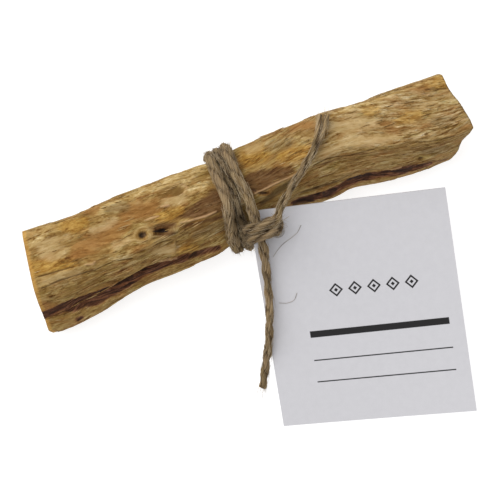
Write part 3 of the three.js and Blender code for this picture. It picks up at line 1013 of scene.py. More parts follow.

# %% The stains, painted highlights and painted shade
# Each mark is its lines of x, y and half width, and the width of its soft edge, in millimetres.
# Most are stains of the wood; a few are painted highlight along the back edge, or painted shade
# under the ridge, the splinters and the broken step.
STAINS_AND_PAINTED_LIGHT = {
    "resin": (1.0, [
        [(-50, 18.0, 1.2), (-45, 18.0, 1.5), (-41.9, 17.9, 1.6), (-38, 18.1, 1.55), (-33, 18.5, 1.3),
         (-28, 18.8, 0.9), (-24.5, 18.8, 0.6), (-20, 18.6, 0.2), (-15.5, 18.4, 0), (-9, 17.6, 0)],
        [(9.4, 20.7, 0.2), (12.9, 20.4, 0.4), (16.8, 19.9, 0.4), (20, 20.1, 0.5), (22.9, 20.3, 0.9),
         (25.9, 20, 0.7), (28.5, 19.4, 0.5), (30.5, 19.0, 0.7), (33, 18.4, 0.9), (35, 18.1, 0.9),
         (37.3, 17.8, 0.6), (40, 17.4, 0.1)],
        [(-43.3, 15.1, 0.1), (-42.5, 15.2, 0.1)],
    ]),
    "pitch": (0.9, [
        [(22.3, 20.6, 0.1), (24.5, 20.5, 0.5), (26.6, 20.2, 0.4)], [(9.4, 20.4, 0.2), (13, 20.2, 0.3)],
        [(31.8, 18.6, 0), (34.3, 18.1, 0.3), (35.6, 17.8, 0.1)], [(16.2, 20, 0.1), (18.5, 20, 0.2)],
        [(-37, 18.5, 0), (-33, 18.7, 0.3), (-29, 18.9, 0.1)],
    ]),
    # Painted highlight: pale strips, mostly along the back edge where the top turns away.
    "edge_highlight": (1.3, [
        [(-29, 34.8, -0.2), (-24, 34.9, 0), (-19, 34.6, 0.2), (-14, 34.5, 0.5), (-9, 34.7, 0.7),
         (-5.5, 35, 0.9)],
        [(22, 34.6, -0.3), (28, 34.6, 0), (35, 34.1, -0.2), (41, 33.9, -0.4), (46, 33.9, -0.3)],
        [(-10, 31.4, 0.2), (-7, 31.2, 0.5)], [(-49, 33.4, 0.2), (-42, 34.2, 0.2)],
    ]),
    "orange": (2.6, [
        [(-37, 28.1, 0.6), (-35.2, 28.3, 0.9), (-33.8, 28.3, 0.8), (-30.8, 29, 0.9),
         (-28.8, 29.1, 0.8), (-25.7, 29.8, 0.3)],
        [(-24.6, 31.2, 0.2), (-22.3, 31.2, 0.6), (-19.7, 31, 0.5), (-18.5, 30.6, 0)],
        [(15.4, 35.7, 0), (18.1, 34.8, 0)], [(41.2, 34.1, -0.4), (42.8, 33.3, 0), (44.4, 32.8, -0.4)],
        [(-48.5, 20.4, 0.2), (-48.2, 19.8, 0.2)],
    ]),
    "gold": (2.4, [
        [(-46.8, 28.2, 0.8), (-44.5, 27.7, 0.4), (-42, 26.8, 0.2), (-39, 25.9, 0)],
        [(-37.6, 34, 0.2), (-35.6, 33.6, 0.6), (-33.7, 33.2, 0.3)],
        [(-18, 28.4, 0.2), (-16, 27.9, 0.5), (-13.8, 27.8, 0.2)], [(3.7, 33, 0.6), (7.1, 32.7, 0.6)],
        [(10.8, 30.5, 0.3), (13, 30.2, 0.5), (15.6, 29.6, 0.2)], [(31, 32.7, 0), (32.6, 32.5, 0)],
        [(36.5, 28.4, 0), (38.5, 28.2, 0.5), (40.5, 28, 0)],
        [(45.3, 33.5, 0.3), (47.6, 32.8, 0.8), (48.6, 32.4, 0.5)],
        [(-18, 20.3, 0.2), (-16.2, 19.9, 0.4), (-14.1, 19.4, 0)],
    ]),
    # Reddish-brown stains near the knots and the tie, with painted shade under the ridge and low on the
    # front.
    "red_stain_and_shade": (1.8, [
        [(-17, 26.8, -0.9), (-13.6, 26.6, -0.4), (-11, 26.5, 0.5), (-8.7, 26.6, 1.3), (-6, 26.9, 1.8)],
        [(2.5, 28.3, 0.9), (5.7, 27.6, 1.2), (8.6, 27.4, 0.7), (11, 27, -0.1)],
        [(2.6, 26.8, 0.8), (7, 26.9, 0.5)],
        [(-20.4, 26.6, -0.5), (-18.4, 26.3, 0.2), (-16.2, 25.6, -0.1)],
        [(-19.4, 24.6, -0.4), (-17.2, 24.2, -0.2)],
        [(-16.2, 25.4, -0.6), (-12.8, 24.4, -0.4), (-8.2, 23.8, -0.3), (-5, 23.8, 0)],
        [(15.8, 26, -0.8), (19.5, 25.7, -0.6), (24, 25, -0.6), (29.3, 24.2, -0.9)],
        [(36.5, 18.4, -0.5), (40, 17.9, -0.3), (43.5, 17.2, -0.6)],
    ]),
    # Painted shade: under the splinter beside the tie, and low on the front.
    "shaded": (1.2, [
        [(3, 23.1, 0.1), (5, 23.6, 0.4), (8, 24.3, 0.4), (10.6, 25.1, 0)],
        [(10, 22.1, -0.5), (14, 21.9, -0.1), (19, 21.6, -0.1), (24, 21.7, -0.3), (29, 20.5, -0.4)],
    ]),
    "cream": (1.5, [
        [(-43.4, 30.6, 0.8), (-42.0, 30.2, 1.5), (-40.4, 29.8, 0.8)],
        [(-32.7, 30.7, 0), (-30, 30.9, 0), (-27.4, 31.2, 0)],
        [(-44.6, 32.5, 0), (-41, 32.1, 0), (-38, 31.9, 0)],
        [(-45.5, 25.1, 0), (-42, 24.6, 0.3), (-38.4, 24.2, 0.1)],
        [(-16.3, 31, 0), (-14.5, 30.5, 0.3), (-12.2, 30, 0.2)], [(-29, 26.2, 0), (-26, 26.3, 0)],
        [(4.6, 34.6, 0.2), (6.5, 34.3, 0.2)], [(17.5, 28.2, 0), (19.5, 28, 0.3), (21.6, 27.9, 0.2)],
        [(20.7, 32.7, 0.1), (23.4, 32, 0.5), (26.1, 30.9, 0.5)],
        [(25.5, 32.1, 0.3), (27.1, 32, 0.6), (29.2, 30.9, 0.6), (31.7, 30.2, 0)],
        [(24.9, 30.7, 0.3), (27.2, 30.2, 0.3)],
        [(23, 28.4, 0.2), (26.8, 27.6, 0.5), (31, 25.9, 0.3), (34, 25.3, 0)],
        [(42.6, 29.4, 0), (44.1, 29, 0.1)], [(-21.4, 21.9, 0.4), (-19.8, 21.5, 0.7), (-18.3, 21.2, 0.6)],
    ]),
    "grey": (2.2, [
        [(8.8, 33.4, 0), (10.8, 33.1, 0.3), (13, 32.7, 0)],
        [(-11.9, 22.1, 0.3), (-9, 21.9, 0.6), (-6.3, 21.5, 0.5)],
        [(43.4, 25.2, 0), (46.4, 24.4, 0)], [(39.7, 20.1, 0.5), (43.8, 19.3, 0.7)],
        [(-20.7, 25, 0), (-18.9, 24.3, 0), (-16.6, 24.2, 0)], [(-27.5, 33.8, 0), (-24, 33.2, 0)],
    ]),
}
# In millimetres, along the stick or round it from the ridge: where each plain zone lies, and how
# far its edges fade.
SAW_BAND = 1.3
SAW_BAND_FADE = 0.9
BLEACHED_FROM = 5
BLEACHED_FADE = 20
CLEAN_END = 1.2
FRONT_WIDTH = 17
FRONT_FADES = (1.2, 3)
COARSE_PAST = (-34, 28)
COARSE_FADE = 8
STEP_SHADE_AT = 0.5
STEP_SHADE_WIDE = 0.8
RESIN_DEPTH = 0.3

stains_and_painted_light = {name: strokes(lines, softness) for name, (softness, lines) in STAINS_AND_PAINTED_LIGHT.items()}
# Painted shadow on the low side just past the broken step's edge, drawn with the reddish stain.
step_shadow = smooth(1 - np.abs(behind + STEP_SHADE_AT) / STEP_SHADE_WIDE) * beside_step
stains_and_painted_light["red_stain_and_shade"] = np.maximum(stains_and_painted_light["red_stain_and_shade"], 0.5 * step_shadow)
stains_and_painted_light["cream"] = np.max([stains_and_painted_light["cream"], 0.6 * knot_ring, 0.8 * step], axis=0)
bright = np.maximum(splinter, 0.7 * scoop_lip)
dent += RESIN_DEPTH * MM * smooth(2 * stains_and_painted_light["resin"] - 1)
front = smooth(arc / MM / FRONT_FADES[0]) * smooth((FRONT_WIDTH - arc / MM) / FRONT_FADES[1])
from_cut = np.linalg.norm(skin - skin[:1], axis=2) / MM
saw_band = smooth((SAW_BAND - from_cut) / SAW_BAND_FADE) * looks_up
calm = np.max([0.8 * stains_and_painted_light["cream"], 0.5 * stains_and_painted_light["orange"], 0.6 * saw_band, 0.9 * scoop_tint_and_shade], axis=0)
bleached = smooth((along / MM - BLEACHED_FROM) / BLEACHED_FADE) * (1 - 0.7 * front)
inside = smooth((np.minimum(along - along[:1], along[-1:] - along) / MM - CLEAN_END) / CLEAN_END)
past_calm = np.maximum(along / MM - COARSE_PAST[1], COARSE_PAST[0] - along / MM)
coarse = smooth(past_calm / COARSE_FADE) * looks_up * (1 - front)
torn = inside * (1 - hollow) * smooth(1 - 1.5 * stains_and_painted_light["resin"])
print({name: round(100 * float((value > 0.5).mean()), 1) for name, value in stains_and_painted_light.items()}, "% of the skin")

# %% [markdown]
# The grain is a place that follows the wood instead of the room: the length along the stick, and a
# turn round it measured from the ridge. Kept on the mesh as one vector, it lets any noise be
# stretched along the fibres, and no seam shows where the skin closes. The ends are discs of rings
# that shrink to a middle, and they carry the grain of their rim.

# %% The stick's mesh, before its relief
GRAIN_RADIUS = 9 * MM
CAP_RINGS = 10
RIM_INSET = 0.02
RING_POWER = 0.8
TIE_HALF = 8
TIE_FADE = 4
# Two corners of the ends: which end, its direction from the axis, and in millimetres how far it is
# moved to the right and inwards, and its reach.
CORNERS = [(0, (-1, 0), 0.7, 0.5, 3), (-1, (1, 0.1), 0.5, 0, 4)]


def ring_faces(outer, inner):
    """Four-sided faces between two rings of corners, by the number of each ring's first corner."""
    near = np.arange(ROUND_CELLS)
    far = (near + 1) % ROUND_CELLS
    return np.stack([outer + near, outer + far, inner + far, inner + near], 1)


grain_turn = 2 * math.pi * (flow / perimeter)
grain = np.stack([along, GRAIN_RADIUS * np.cos(grain_turn), GRAIN_RADIUS * np.sin(grain_turn)], 2)
lengthways = np.gradient(skin, axis=0)
lengthways /= np.linalg.norm(lengthways, axis=2, keepdims=True)
under_tie = 1 - smooth((np.abs(along / MM) - TIE_HALF) / TIE_FADE + 0.2)
shaped = skin + outward * (raised - dent)[:, :, None]
for end, look, rightward, inward, reach in CORNERS:
    corner = skin[end, (skin[end, :, 1:] @ np.array(look)).argmax()]
    near = smooth(1 - np.linalg.norm(skin - corner, axis=2) / (reach * MM))
    shaped[:, :, 0] += rightward * MM * near
    shaped -= outward * (inward * MM * near)[:, :, None]

# The relief is lower under the tie, on calm places, beside the cuts and on upright sides.
rough = (1 - 0.6 * under_tie) * (1 - 0.8 * calm) * (0.3 + 0.7 * inside) * (1 - 0.5 * upright)
columns = stains_and_painted_light | {
    "grain": grain, "outward": outward, "hollow": hollow, "front": front, "saw_band": saw_band,
    "scoop_tint_and_shade": scoop_tint_and_shade, "crack": crack, "bright": bright, "calm": calm, "bleached": bleached,
    "lengthways": lengthways, "torn": torn, "coarse": coarse, "rough": rough,
    "sawn": np.zeros_like(arc),
}
places = [shaped.reshape(-1, 3)]
kept = {name: [value.reshape(len(places[0]), -1)] for name, value in columns.items()}
quads = [ring_faces(row * ROUND_CELLS, (row + 1) * ROUND_CELLS) for row in range(ALONG_CELLS)]
fans = []
count = len(places[0])
for row, side in ((0, -1), (ALONG_CELLS, 1)):
    middle = station(share[row])[0]
    outer = row * ROUND_CELLS
    rims = {name: value[row].reshape(ROUND_CELLS, -1) for name, value in columns.items()}
    for ring in range(1, CAP_RINGS + 1):
        size = (1 - RIM_INSET) * ((1 - ring / (CAP_RINGS + 1)) ** RING_POWER if ring > 1 else 1)
        places.append(middle + (shaped[row] - middle) * size)
        for name, rim in rims.items():
            kept[name].append(rim * (size if name == "outward" else 1) + (name == "sawn"))
        faces = ring_faces(outer, count)
        quads.append(faces if side > 0 else faces[:, [0, 3, 2, 1]])
        outer = count
        count += ROUND_CELLS
    places.append(middle[None])
    for name, rim in rims.items():
        kept[name].append(rim.mean(0, keepdims=True) * (name != "outward") + (name == "sawn"))
    for column in range(ROUND_CELLS):
        near, far = outer + column, outer + (column + 1) % ROUND_CELLS
        fans.append((count, near, far) if side > 0 else (count, far, near))
    count += 1
bare_wood = bpy.data.meshes.new("bare_wood")
bare_wood.from_pydata(np.vstack(places).tolist(), [], np.vstack(quads).tolist() + fans)
for name, parts in kept.items():
    values = np.vstack(parts)
    kind, field = ("FLOAT_VECTOR", "vector") if values.shape[1] == 3 else ("FLOAT", "value")
    bare_wood.attributes.new(name, kind, "POINT").data.foreach_set(field, values.astype(np.float32).ravel())
bare_wood.polygons.foreach_set("use_smooth", [True] * len(bare_wood.polygons))
print(len(bare_wood.vertices), "corners")

# %% [markdown]
# Torn wood has relief of three kinds: long ridges a millimetre or so wide, finer fibres on them, and
# slivers that end in small steps where the split jumped from one layer to the next. Noise that is
# stretched along the grain gives the first two, and random heights in long cells give the slivers.
# The tree keeps the height it adds, so that the material can paint shade into the grooves.

# %% The tree that tears the skin
# The length and width of each kind of relief along the grain, in millimetres.
DRIFT_SIZE = (14, 5)
RIDGE_SIZE = (6, 0.9)
FIBRE_SIZE = (2.4, 0.5)
SLIVER_SIZE = (3.6, 0.7)
DRIFT_REACH = 3 * MM
RELIEF_CONTRAST = 1.6


def stretched(tree, grain_place, length, width):
    """The grain with one unit of noise for so many millimetres along it and across it."""
    return vectors(tree, "MULTIPLY", grain_place, (1 / (length * MM), 1 / (width * MM), 1 / (width * MM)))


def relief_tree():
    """Ridges, fibres and slivers added to the skin, which keeps their height as a number."""
    tree, given, output = new_tree("split_relief", [
        ("Ridge Height", "Float"), ("Fibre Height", "Float"), ("Sliver Height", "Float"),
        ("Seed", "Float"), ("Split Material", "Material"), ("Sawn Material", "Material"),
    ])
    grain_place = named(tree, "grain")
    drift = wander(tree, stretched(tree, grain_place, *DRIFT_SIZE), 1.0, 2.0, given["Seed"])
    drift = vectors(tree, "MULTIPLY", scaled(tree, drift, DRIFT_REACH), (0.0, 1.0, 1.0))
    wavy = vectors(tree, "ADD", grain_place, drift)
    ridges = noise(tree, stretched(tree, wavy, *RIDGE_SIZE), 1.0, 2.0, 0.5, given["Seed"])
    fibres = noise(tree, stretched(tree, wavy, *FIBRE_SIZE), 1.0, 2.0, 0.6, given["Seed"])
    slivers = cells(tree, stretched(tree, wavy, *SLIVER_SIZE), given["Seed"])

    height = 0.0
    for kind, value in (("Ridge Height", ridges), ("Fibre Height", fibres), ("Sliver Height", slivers)):
        height = maths(tree, "MULTIPLY_ADD", maths(tree, "SUBTRACT", value, 0.5), given[kind], height)
    height = maths(tree, "MULTIPLY", height, named(tree, "rough", "FLOAT"))
    whole = maths(tree, "ADD", given["Ridge Height"], given["Sliver Height"])
    shown = maths(tree, "MULTIPLY_ADD", maths(tree, "DIVIDE", height, whole), RELIEF_CONTRAST, 0.5)

    skin = stored(tree, given["Geometry"], "relief", shown)
    skin = stored(tree, skin, "wavy_grain", wavy, "FLOAT_VECTOR")
    skin = moved(tree, skin, scaled(tree, named(tree, "outward"), height))
    real = add_node(tree, "GeometryNodeRealizeInstances", {0: skin}).outputs[0]
    clad = add_node(tree, "GeometryNodeSetMaterial", {"Geometry": real, "Material": given["Split Material"]})
    sawn = maths(tree, "GREATER_THAN", named(tree, "sawn", "FLOAT"), 0.5)
    clad = add_node(tree, "GeometryNodeSetMaterial", {
        "Geometry": clad.outputs[0], "Selection": sawn, "Material": given["Sawn Material"],
    })
    tree.links.new(clad.outputs[0], output.inputs[0])
    return tree


# %% [markdown]
# The split faces are honey brown with cream and dark dashes along the grain, a browner front, and
# dark red-brown resin in its seams. Every layer of the material reads the grain, so each dash
# follows the fibres and bends round the knots. The listed marks are broken up by noise at
# their edges, because resin soaks in along the fibres and never stops on a clean line.

# %% The split faces' material
# The noises that follow the grain: length and width in millimetres, detail, seed and roughness.
LAYERS = {
    "zone": (6, 2.6, 3.0, 1.0, 0.55), "hue": (4.5, 1.8, 3.0, 2.0, 0.55),
    "patchy": (6, 2.2, 2.0, 10.0, 0.55), "line": (9, 0.3, 2.0, 9.0, 0.55),
    "streak": (3.2, 0.5, 5.0, 4.0, 0.7), "fleck": (1.1, 0.3, 3.0, 5.0, 0.7),
    "sliver": (1.7, 0.3, 1.0, 7.0, 0.55), "gap": (2.0, 0.32, 1.0, 8.0, 0.55),
    "dashes": (4.5, 0.8, 2.0, 16.0, 0.55),
}
FLAKE_SIZE = (1.9, 0.45)
FLAKE_SEED = 6.0
# How the edge of each mark frays along the fibres: the length and width of its frays in
# millimetres, how far they reach, their seed, and the two values between which its edge fades.
FRAYED_EDGES = {
    "gold": (5, 0.8, 1.2, 3.0, 0.1, 1.0), "orange": (5, 0.8, 1.2, 4.0, 0.1, 1.0),
    "grey": (5, 0.8, 1.2, 5.0, 0.1, 1.0), "red_stain_and_shade": (5, 0.8, 1.7, 6.0, 0.1, 1.0),
    "shaded": (5, 0.8, 1.0, 19.0, 0.1, 1.0), "edge_highlight": (5, 0.8, 1.2, 18.0, 0.1, 1.0),
    "saw_band": (3, 0.5, 0.9, 13.0, 0.25, 0.9), "resin": (4, 0.45, 1.3, 8.0, 0.3, 0.75),
    "pitch": (2, 0.4, 1.0, 17.0, 0.2, 0.8), "hollow": (1.2, 0.35, 0.7, 15.0, 0.1, 0.95),
    "crack": (3, 0.5, 1.5, 14.0, 0.2, 0.9),
}
# The strength and the colour of each stain, painted highlight and painted shade, in the order in which they
# are painted.
STAIN_AND_LIGHT_PAINTS = {
    "gold": (0.6, rgb(172, 128, 50)), "orange": (0.75, rgb(150, 104, 52)),
    "grey": (0.45, rgb(126, 108, 76)), "red_stain_and_shade": (0.9, rgb(100, 68, 38)),
    "shaded": (0.7, rgb(74, 56, 30)), "edge_highlight": (0.65, rgb(202, 173, 116)),
}
# What each layer adds to the shade: the value that adds nothing, and its gain.
SHADE_GAINS = {
    "streak": (0.5, 2.2), "fleck": (0.5, 2.0), "flake": (0.5, 0.4), "sliver": (0.0, 0.45),
    "gap": (0.0, -0.4),
}
LINE_GAIN = 1.8
DASH_GAIN = 2.2
DARKEST = 0.2
# Darker wood is also redder: how strongly each colour follows the shade.
SHADE_POWERS = (0.74, 1.0, 1.55)
SPLIT_BUMP = 0.16 * MM


def split_material():
    """Palo santo split along its grain."""
    material, tree, shader = new_material("palo_santo_split", 0.8, 0.2)
    grain_place = attribute(tree, "wavy_grain", "Vector")

    def mark(name):
        return attribute(tree, name)

    def layer(length, width, detail, seed, roughness):
        return noise(tree, stretched(tree, grain_place, length, width), 1.0, detail, roughness, seed)

    def frayed_mark(name):
        length, width, spread, seed, low, high = FRAYED_EDGES[name]
        fray = maths(tree, "SUBTRACT", layer(length, width, 3.0, seed, 0.6), 0.5)
        frayed = maths(tree, "MULTIPLY_ADD", fray, spread, mark(name))
        return remap(tree, frayed, low, high, 0.0, 1.0, "SMOOTHSTEP")

    def painted(colour, share, strength, paint, blend="MIX"):
        return mixed(tree, maths(tree, "MULTIPLY", share, strength), colour, paint, blend)

    layers = {name: layer(*numbers) for name, numbers in LAYERS.items()}
    colour = ramp(tree, layers["zone"], [
        (0.34, rgb(136, 103, 53)), (0.46, rgb(150, 118, 65)), (0.56, rgb(160, 130, 76)),
        (0.68, rgb(170, 143, 95)),
    ])
    colour = painted(colour, mark("bleached"), 0.5, rgb(184, 157, 112))
    colour = painted(colour, remap(tree, layers["hue"], 0.52, 0.66), 0.6, rgb(156, 110, 58))
    colour = painted(colour, remap(tree, layers["hue"], 0.48, 0.34), 0.5, rgb(142, 118, 56))
    colour = painted(colour, mark("front"), 0.6, rgb(250, 247, 240), "MULTIPLY")
    for name, (strength, paint) in STAIN_AND_LIGHT_PAINTS.items():
        colour = painted(colour, frayed_mark(name), strength, paint)
    colour = painted(colour, mark("cream"), 0.5, rgb(194, 167, 120))
    # The scoop's olive-brown floor, with painted shade under its steep walls.
    colour = painted(colour, mark("scoop_tint_and_shade"), 0.75, rgb(112, 80, 34))
    colour = painted(colour, frayed_mark("saw_band"), 0.8, rgb(190, 146, 76))
    colour = painted(colour, remap(tree, mark("resin"), 0.05, 0.5), 0.55, rgb(140, 88, 52))
    colour = painted(colour, frayed_mark("resin"), 0.95, ramp(tree, layers["line"], [
        (0.38, rgb(44, 22, 12)), (0.50, rgb(80, 46, 30)), (0.62, rgb(112, 70, 44)),
    ]))
    colour = painted(colour, frayed_mark("pitch"), 0.75, rgb(38, 22, 15))
    depth = frayed_mark("hollow")
    knot_colour = ramp(tree, depth, [(0.3, rgb(100, 68, 36)), (0.85, rgb(46, 36, 38))])
    colour = painted(colour, depth, 1.0, knot_colour)

    patchy = remap(tree, layers["patchy"], 0.38, 0.62, 0.65, 1.25)
    busy = maths(tree, "MULTIPLY", patchy, remap(tree, mark("calm"), 0.0, 1.0, 1.0, 0.25))
    layers["flake"] = cells(tree, stretched(tree, grain_place, *FLAKE_SIZE), FLAKE_SEED)
    layers["sliver"] = remap(tree, layers["sliver"], 0.60, 0.68)
    layers["gap"] = remap(tree, layers["gap"], 0.41, 0.35)
    shade = 0.0
    for name, (middle, gain) in SHADE_GAINS.items():
        shade = maths(tree, "MULTIPLY_ADD", maths(tree, "SUBTRACT", layers[name], middle), gain, shade)
    line_gain = maths(tree, "MULTIPLY", mark("front"), LINE_GAIN)
    shade = maths(tree, "MULTIPLY_ADD", maths(tree, "SUBTRACT", layers["line"], 0.5), line_gain, shade)
    dashes = maths(tree, "MULTIPLY", maths(tree, "SUBTRACT", layers["dashes"], 0.5), mark("coarse"))
    shade = maths(tree, "MULTIPLY_ADD", dashes, DASH_GAIN, shade)
    shade = maths(tree, "MAXIMUM", maths(tree, "MULTIPLY_ADD", shade, busy, 1.0), DARKEST)
    # Painted shade: the lower the relief, the darker the wood.
    shade = maths(tree, "MULTIPLY", shade, remap(tree, mark("relief"), 0.15, 0.65, 0.6, 1.08))
    warmth = combined(tree, *(maths(tree, "POWER", shade, power) for power in SHADE_POWERS))
    colour = vectors(tree, "MULTIPLY", colour, warmth)
    # Painted shade along the cracks, which are also cut a little into the skin.
    colour = painted(colour, frayed_mark("crack"), 0.65, rgb(76, 50, 22))
    colour = painted(colour, mark("bright"), 0.6, rgb(206, 168, 124))
    tree.links.new(colour, shader.inputs["Base Color"])
    fine = maths(tree, "ADD", layers["fleck"], layers["sliver"])
    fine = maths(tree, "MULTIPLY_ADD", layers["flake"], 0.5, fine)
    bumped(tree, shader, maths(tree, "MULTIPLY", fine, busy), SPLIT_BUMP)
    return material


# %% [markdown]
# The sawn ends cut across the grain, so they show growth rings instead of streaks: arcs round the
# log's own middle, which lies well below this split piece, with pores as dots, the faint marks of
# the saw, and a dark stain where the resin seam reaches the cut.

# %% The sawn ends' material
LOG_MIDDLE = (0, 20 * MM, -24 * MM)
RING_WANDER = 1.4 * MM
WANDERS_PER_M = 180.0
# The noises on the cut: how many there are in a metre, detail, roughness and seed.
RINGS = (900.0, 3.0, 0.6, 2.0)
PORES = (2600.0, 2.0, 0.5, 3.0)
PATCHES = (160.0, 2.0, 0.5, 4.0)
SAW_MARKS_PER_M = (0.0, 200.0, 2400.0)
SAWN_BUMP = 0.12 * MM
# The stain starts at this share of the way out, and its edge frays and it darkens by so much.
VEIN_FROM = 0.5
VEIN_FRAY = 1.2
VEIN_STRENGTH = 0.65


def sawn_material():
    """Palo santo cut across its grain."""
    material, tree, shader = new_material("palo_santo_sawn", 0.7)
    place = object_place(tree)
    flat = vectors(tree, "MULTIPLY", place, (0.0, 1.0, 1.0))
    drift = scaled(tree, wander(tree, flat, WANDERS_PER_M, 2.0, 1.0), RING_WANDER)
    bent = vectors(tree, "ADD", flat, drift)
    out = length_of(tree, vectors(tree, "SUBTRACT", bent, LOG_MIDDLE))
    ring = noise(tree, combined(tree, out), *RINGS)
    pores = noise(tree, flat, *PORES)
    patch = noise(tree, flat, *PATCHES)
    saw = noise(tree, vectors(tree, "MULTIPLY", place, SAW_MARKS_PER_M), 1.0, 2.0, 0.5, 5.0)

    colour = ramp(tree, ring, [
        (0.32, rgb(150, 110, 58)), (0.47, rgb(186, 146, 84)), (0.58, rgb(206, 170, 108)),
        (0.70, rgb(222, 192, 138)),
    ])
    colour = mixed(tree, remap(tree, patch, 0.45, 0.62, 0.0, 0.5), colour, rgb(168, 124, 62))
    colour = mixed(tree, remap(tree, pores, 0.60, 0.70, 0.0, 0.6), colour, rgb(116, 80, 42))
    near_rim = remap(tree, length_of(tree, attribute(tree, "outward", "Vector")), VEIN_FROM, 1.0)
    vein = maths(tree, "MULTIPLY", attribute(tree, "resin"), near_rim)
    frayed_vein = maths(tree, "MULTIPLY_ADD", maths(tree, "SUBTRACT", patch, 0.5), VEIN_FRAY, vein)
    stain = remap(tree, frayed_vein, 0.2, 0.9, 0.0, VEIN_STRENGTH, "SMOOTHSTEP")
    tree.links.new(mixed(tree, stain, colour, rgb(70, 44, 28)), shader.inputs["Base Color"])
    bumped(tree, shader, maths(tree, "MULTIPLY_ADD", pores, -0.6, saw), SAWN_BUMP)
    return material


# %% Tear the skin
wood = made_by(relief_tree(), bare_wood, {
    "Ridge Height": 0.38 * MM, "Fibre Height": 0.34 * MM, "Sliver Height": 0.22 * MM,
    "Seed": float(SEED), "Split Material": split_material(), "Sawn Material": sawn_material(),
}, "wood")
kept_above_table(wood)
print("wood box", np.round(np.ptp(vertices_of(wood), axis=0) / MM, 1), "mm")

# %% [markdown]
# Where the log was split, thin slivers of wood still hang on by one end. They catch the light as
# short pale strokes. Their places follow no drawing, so a tree scatters them over the split faces,
# turns each one along the grain, lays it on the surface and lifts its free end a little.

# %% The tree that raises the slivers
SLIVER_POINTS = 4
SLIVER_SIDES = 4
SLIVER_LIFT = math.radians(4)
SLIVER_TURN = math.radians(4)
SLIVER_PATCHES = (7, 2.5)
# A sliver of length 1 from its rooted end to its free one.
SLIVER_ENDS = ((-0.3, 0.0, -0.2), (0.7, 0.0, 0.3))
# Its width follows a sine over this angle, from this start, and is this share of its size.
TAPER_ANGLE = 2.7
TAPER_START = 0.25
TAPER_WIDTH = 0.5


def sliver_tree():
    """Thin tapered slivers along the grain, each lifted at one end."""
    tree, given, output = new_tree("slivers", [
        ("Density", "Float"), ("Shortest", "Float"), ("Longest", "Float"), ("Thinnest", "Float"),
        ("Thickest", "Float"), ("Seed", "Int"), ("Material", "Material"),
    ])
    patchy = noise(tree, stretched(tree, named(tree, "grain"), *SLIVER_PATCHES), 1.0, 2.0, 0.5, 11.0)
    wanted = maths(tree, "MULTIPLY", remap(tree, patchy, 0.45, 0.6), named(tree, "rough", "FLOAT"))
    wanted = maths(tree, "MULTIPLY", wanted, named(tree, "torn", "FLOAT"))
    spots = scattered(tree, given, maths(tree, "MULTIPLY", wanted, given["Density"]))
    side = maths(tree, "SIGN", drawn(tree, given, -1.0, 1.0, 1))
    turn = aligned(tree, {"Vector": scaled(tree, named(tree, "lengthways"), side)}, axis="X")
    turn = aligned(tree, {"Rotation": turn, "Vector": spots["Normal"]}, axis="Z", pivot_axis="X")
    lift = combined(tree, 0.0, drawn(tree, given, -SLIVER_LIFT, 0.0, 2),
                    drawn(tree, given, -SLIVER_TURN, SLIVER_TURN, 3))
    feeds = {"Rotation": turn, "Rotate By": lift}
    turn = add_node(tree, "FunctionNodeRotateRotation", feeds, rotation_space="LOCAL").outputs[0]
    thickness = drawn(tree, given, given["Thinnest"], given["Thickest"], 4)
    length = drawn(tree, given, given["Shortest"], given["Longest"], 5)
    size = combined(tree, length, thickness, thickness)

    share = add_node(tree, "GeometryNodeSplineParameter").outputs["Factor"]
    swell = maths(tree, "SINE", maths(tree, "MULTIPLY_ADD", share, TAPER_ANGLE, TAPER_START))
    taper = maths(tree, "MULTIPLY", swell, TAPER_WIDTH)
    blade = straight(tree, *SLIVER_ENDS, SLIVER_POINTS)
    blade = tube(tree, blade, circle(tree, SLIVER_SIDES), taper, True)
    slivers = copies(tree, spots, blade, turn, size)
    toned = stored(tree, slivers, "tone", drawn(tree, given, 0.0, 1.0, 6), "FLOAT", "INSTANCE")
    finished(tree, toned, given["Material"], output)
    return tree


# %% Slivers on the split faces
SLIVERS_PER_M2 = 0.5e6
SLIVER_FIBRES_PER_M = (500.0, 5000.0, 5000.0)


def sliver_material():
    """Fresh-torn wood, each sliver with its own tone."""
    material, tree, shader = new_material("palo_santo_slivers", 0.8, 0.2)
    colour = ramp(tree, attribute(tree, "tone"), [
        (0.0, rgb(104, 76, 38)), (0.4, rgb(142, 110, 60)), (0.75, rgb(168, 136, 84)),
        (1.0, rgb(190, 160, 112)),
    ])
    stretch = vectors(tree, "MULTIPLY", object_place(tree), SLIVER_FIBRES_PER_M)
    fibre = noise(tree, stretch, 1.0, 2.0, 0.6, 1.0)
    colour = scaled(tree, colour, remap(tree, fibre, 0.35, 0.65, 0.82, 1.12))
    tree.links.new(colour, shader.inputs["Base Color"])
    return material


slivers = made_by(sliver_tree(), wood.data.copy(), {
    "Density": SLIVERS_PER_M2, "Shortest": 0.8 * MM, "Longest": 3 * MM, "Thinnest": 0.12 * MM,
    "Thickest": 0.24 * MM, "Seed": SEED, "Material": sliver_material(),
}, "slivers")
kept_above_table(slivers)

# %% [markdown]
# ## The tag
#
# The tag is a square of stiff card with a punched hole. It leans with one corner on the wood and
# its lower edge on the table. A flat slab with a fine grid is cut by a round punch while it is
# still flat, each point keeps its place on the card for the print, and then the slab is carried
# over to the leaning card, with a slight wave, since no card is quite flat.

# %% The card, cut flat
CARD_CELL = 1 * MM
CARD_THICKNESS = 0.4 * MM
CARD_ACROSS = np.array([0.967, -0.255, 0])
CARD_UP = np.array([0.255, 0.967, 0])
HOLE_RADIUS = 1.75 * MM
HOLE_PLACE = (5.3 * MM, 4.8 * MM)
HOLE_SIDES = 48

tag_places = vertices_of(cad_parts["paper_tag"])


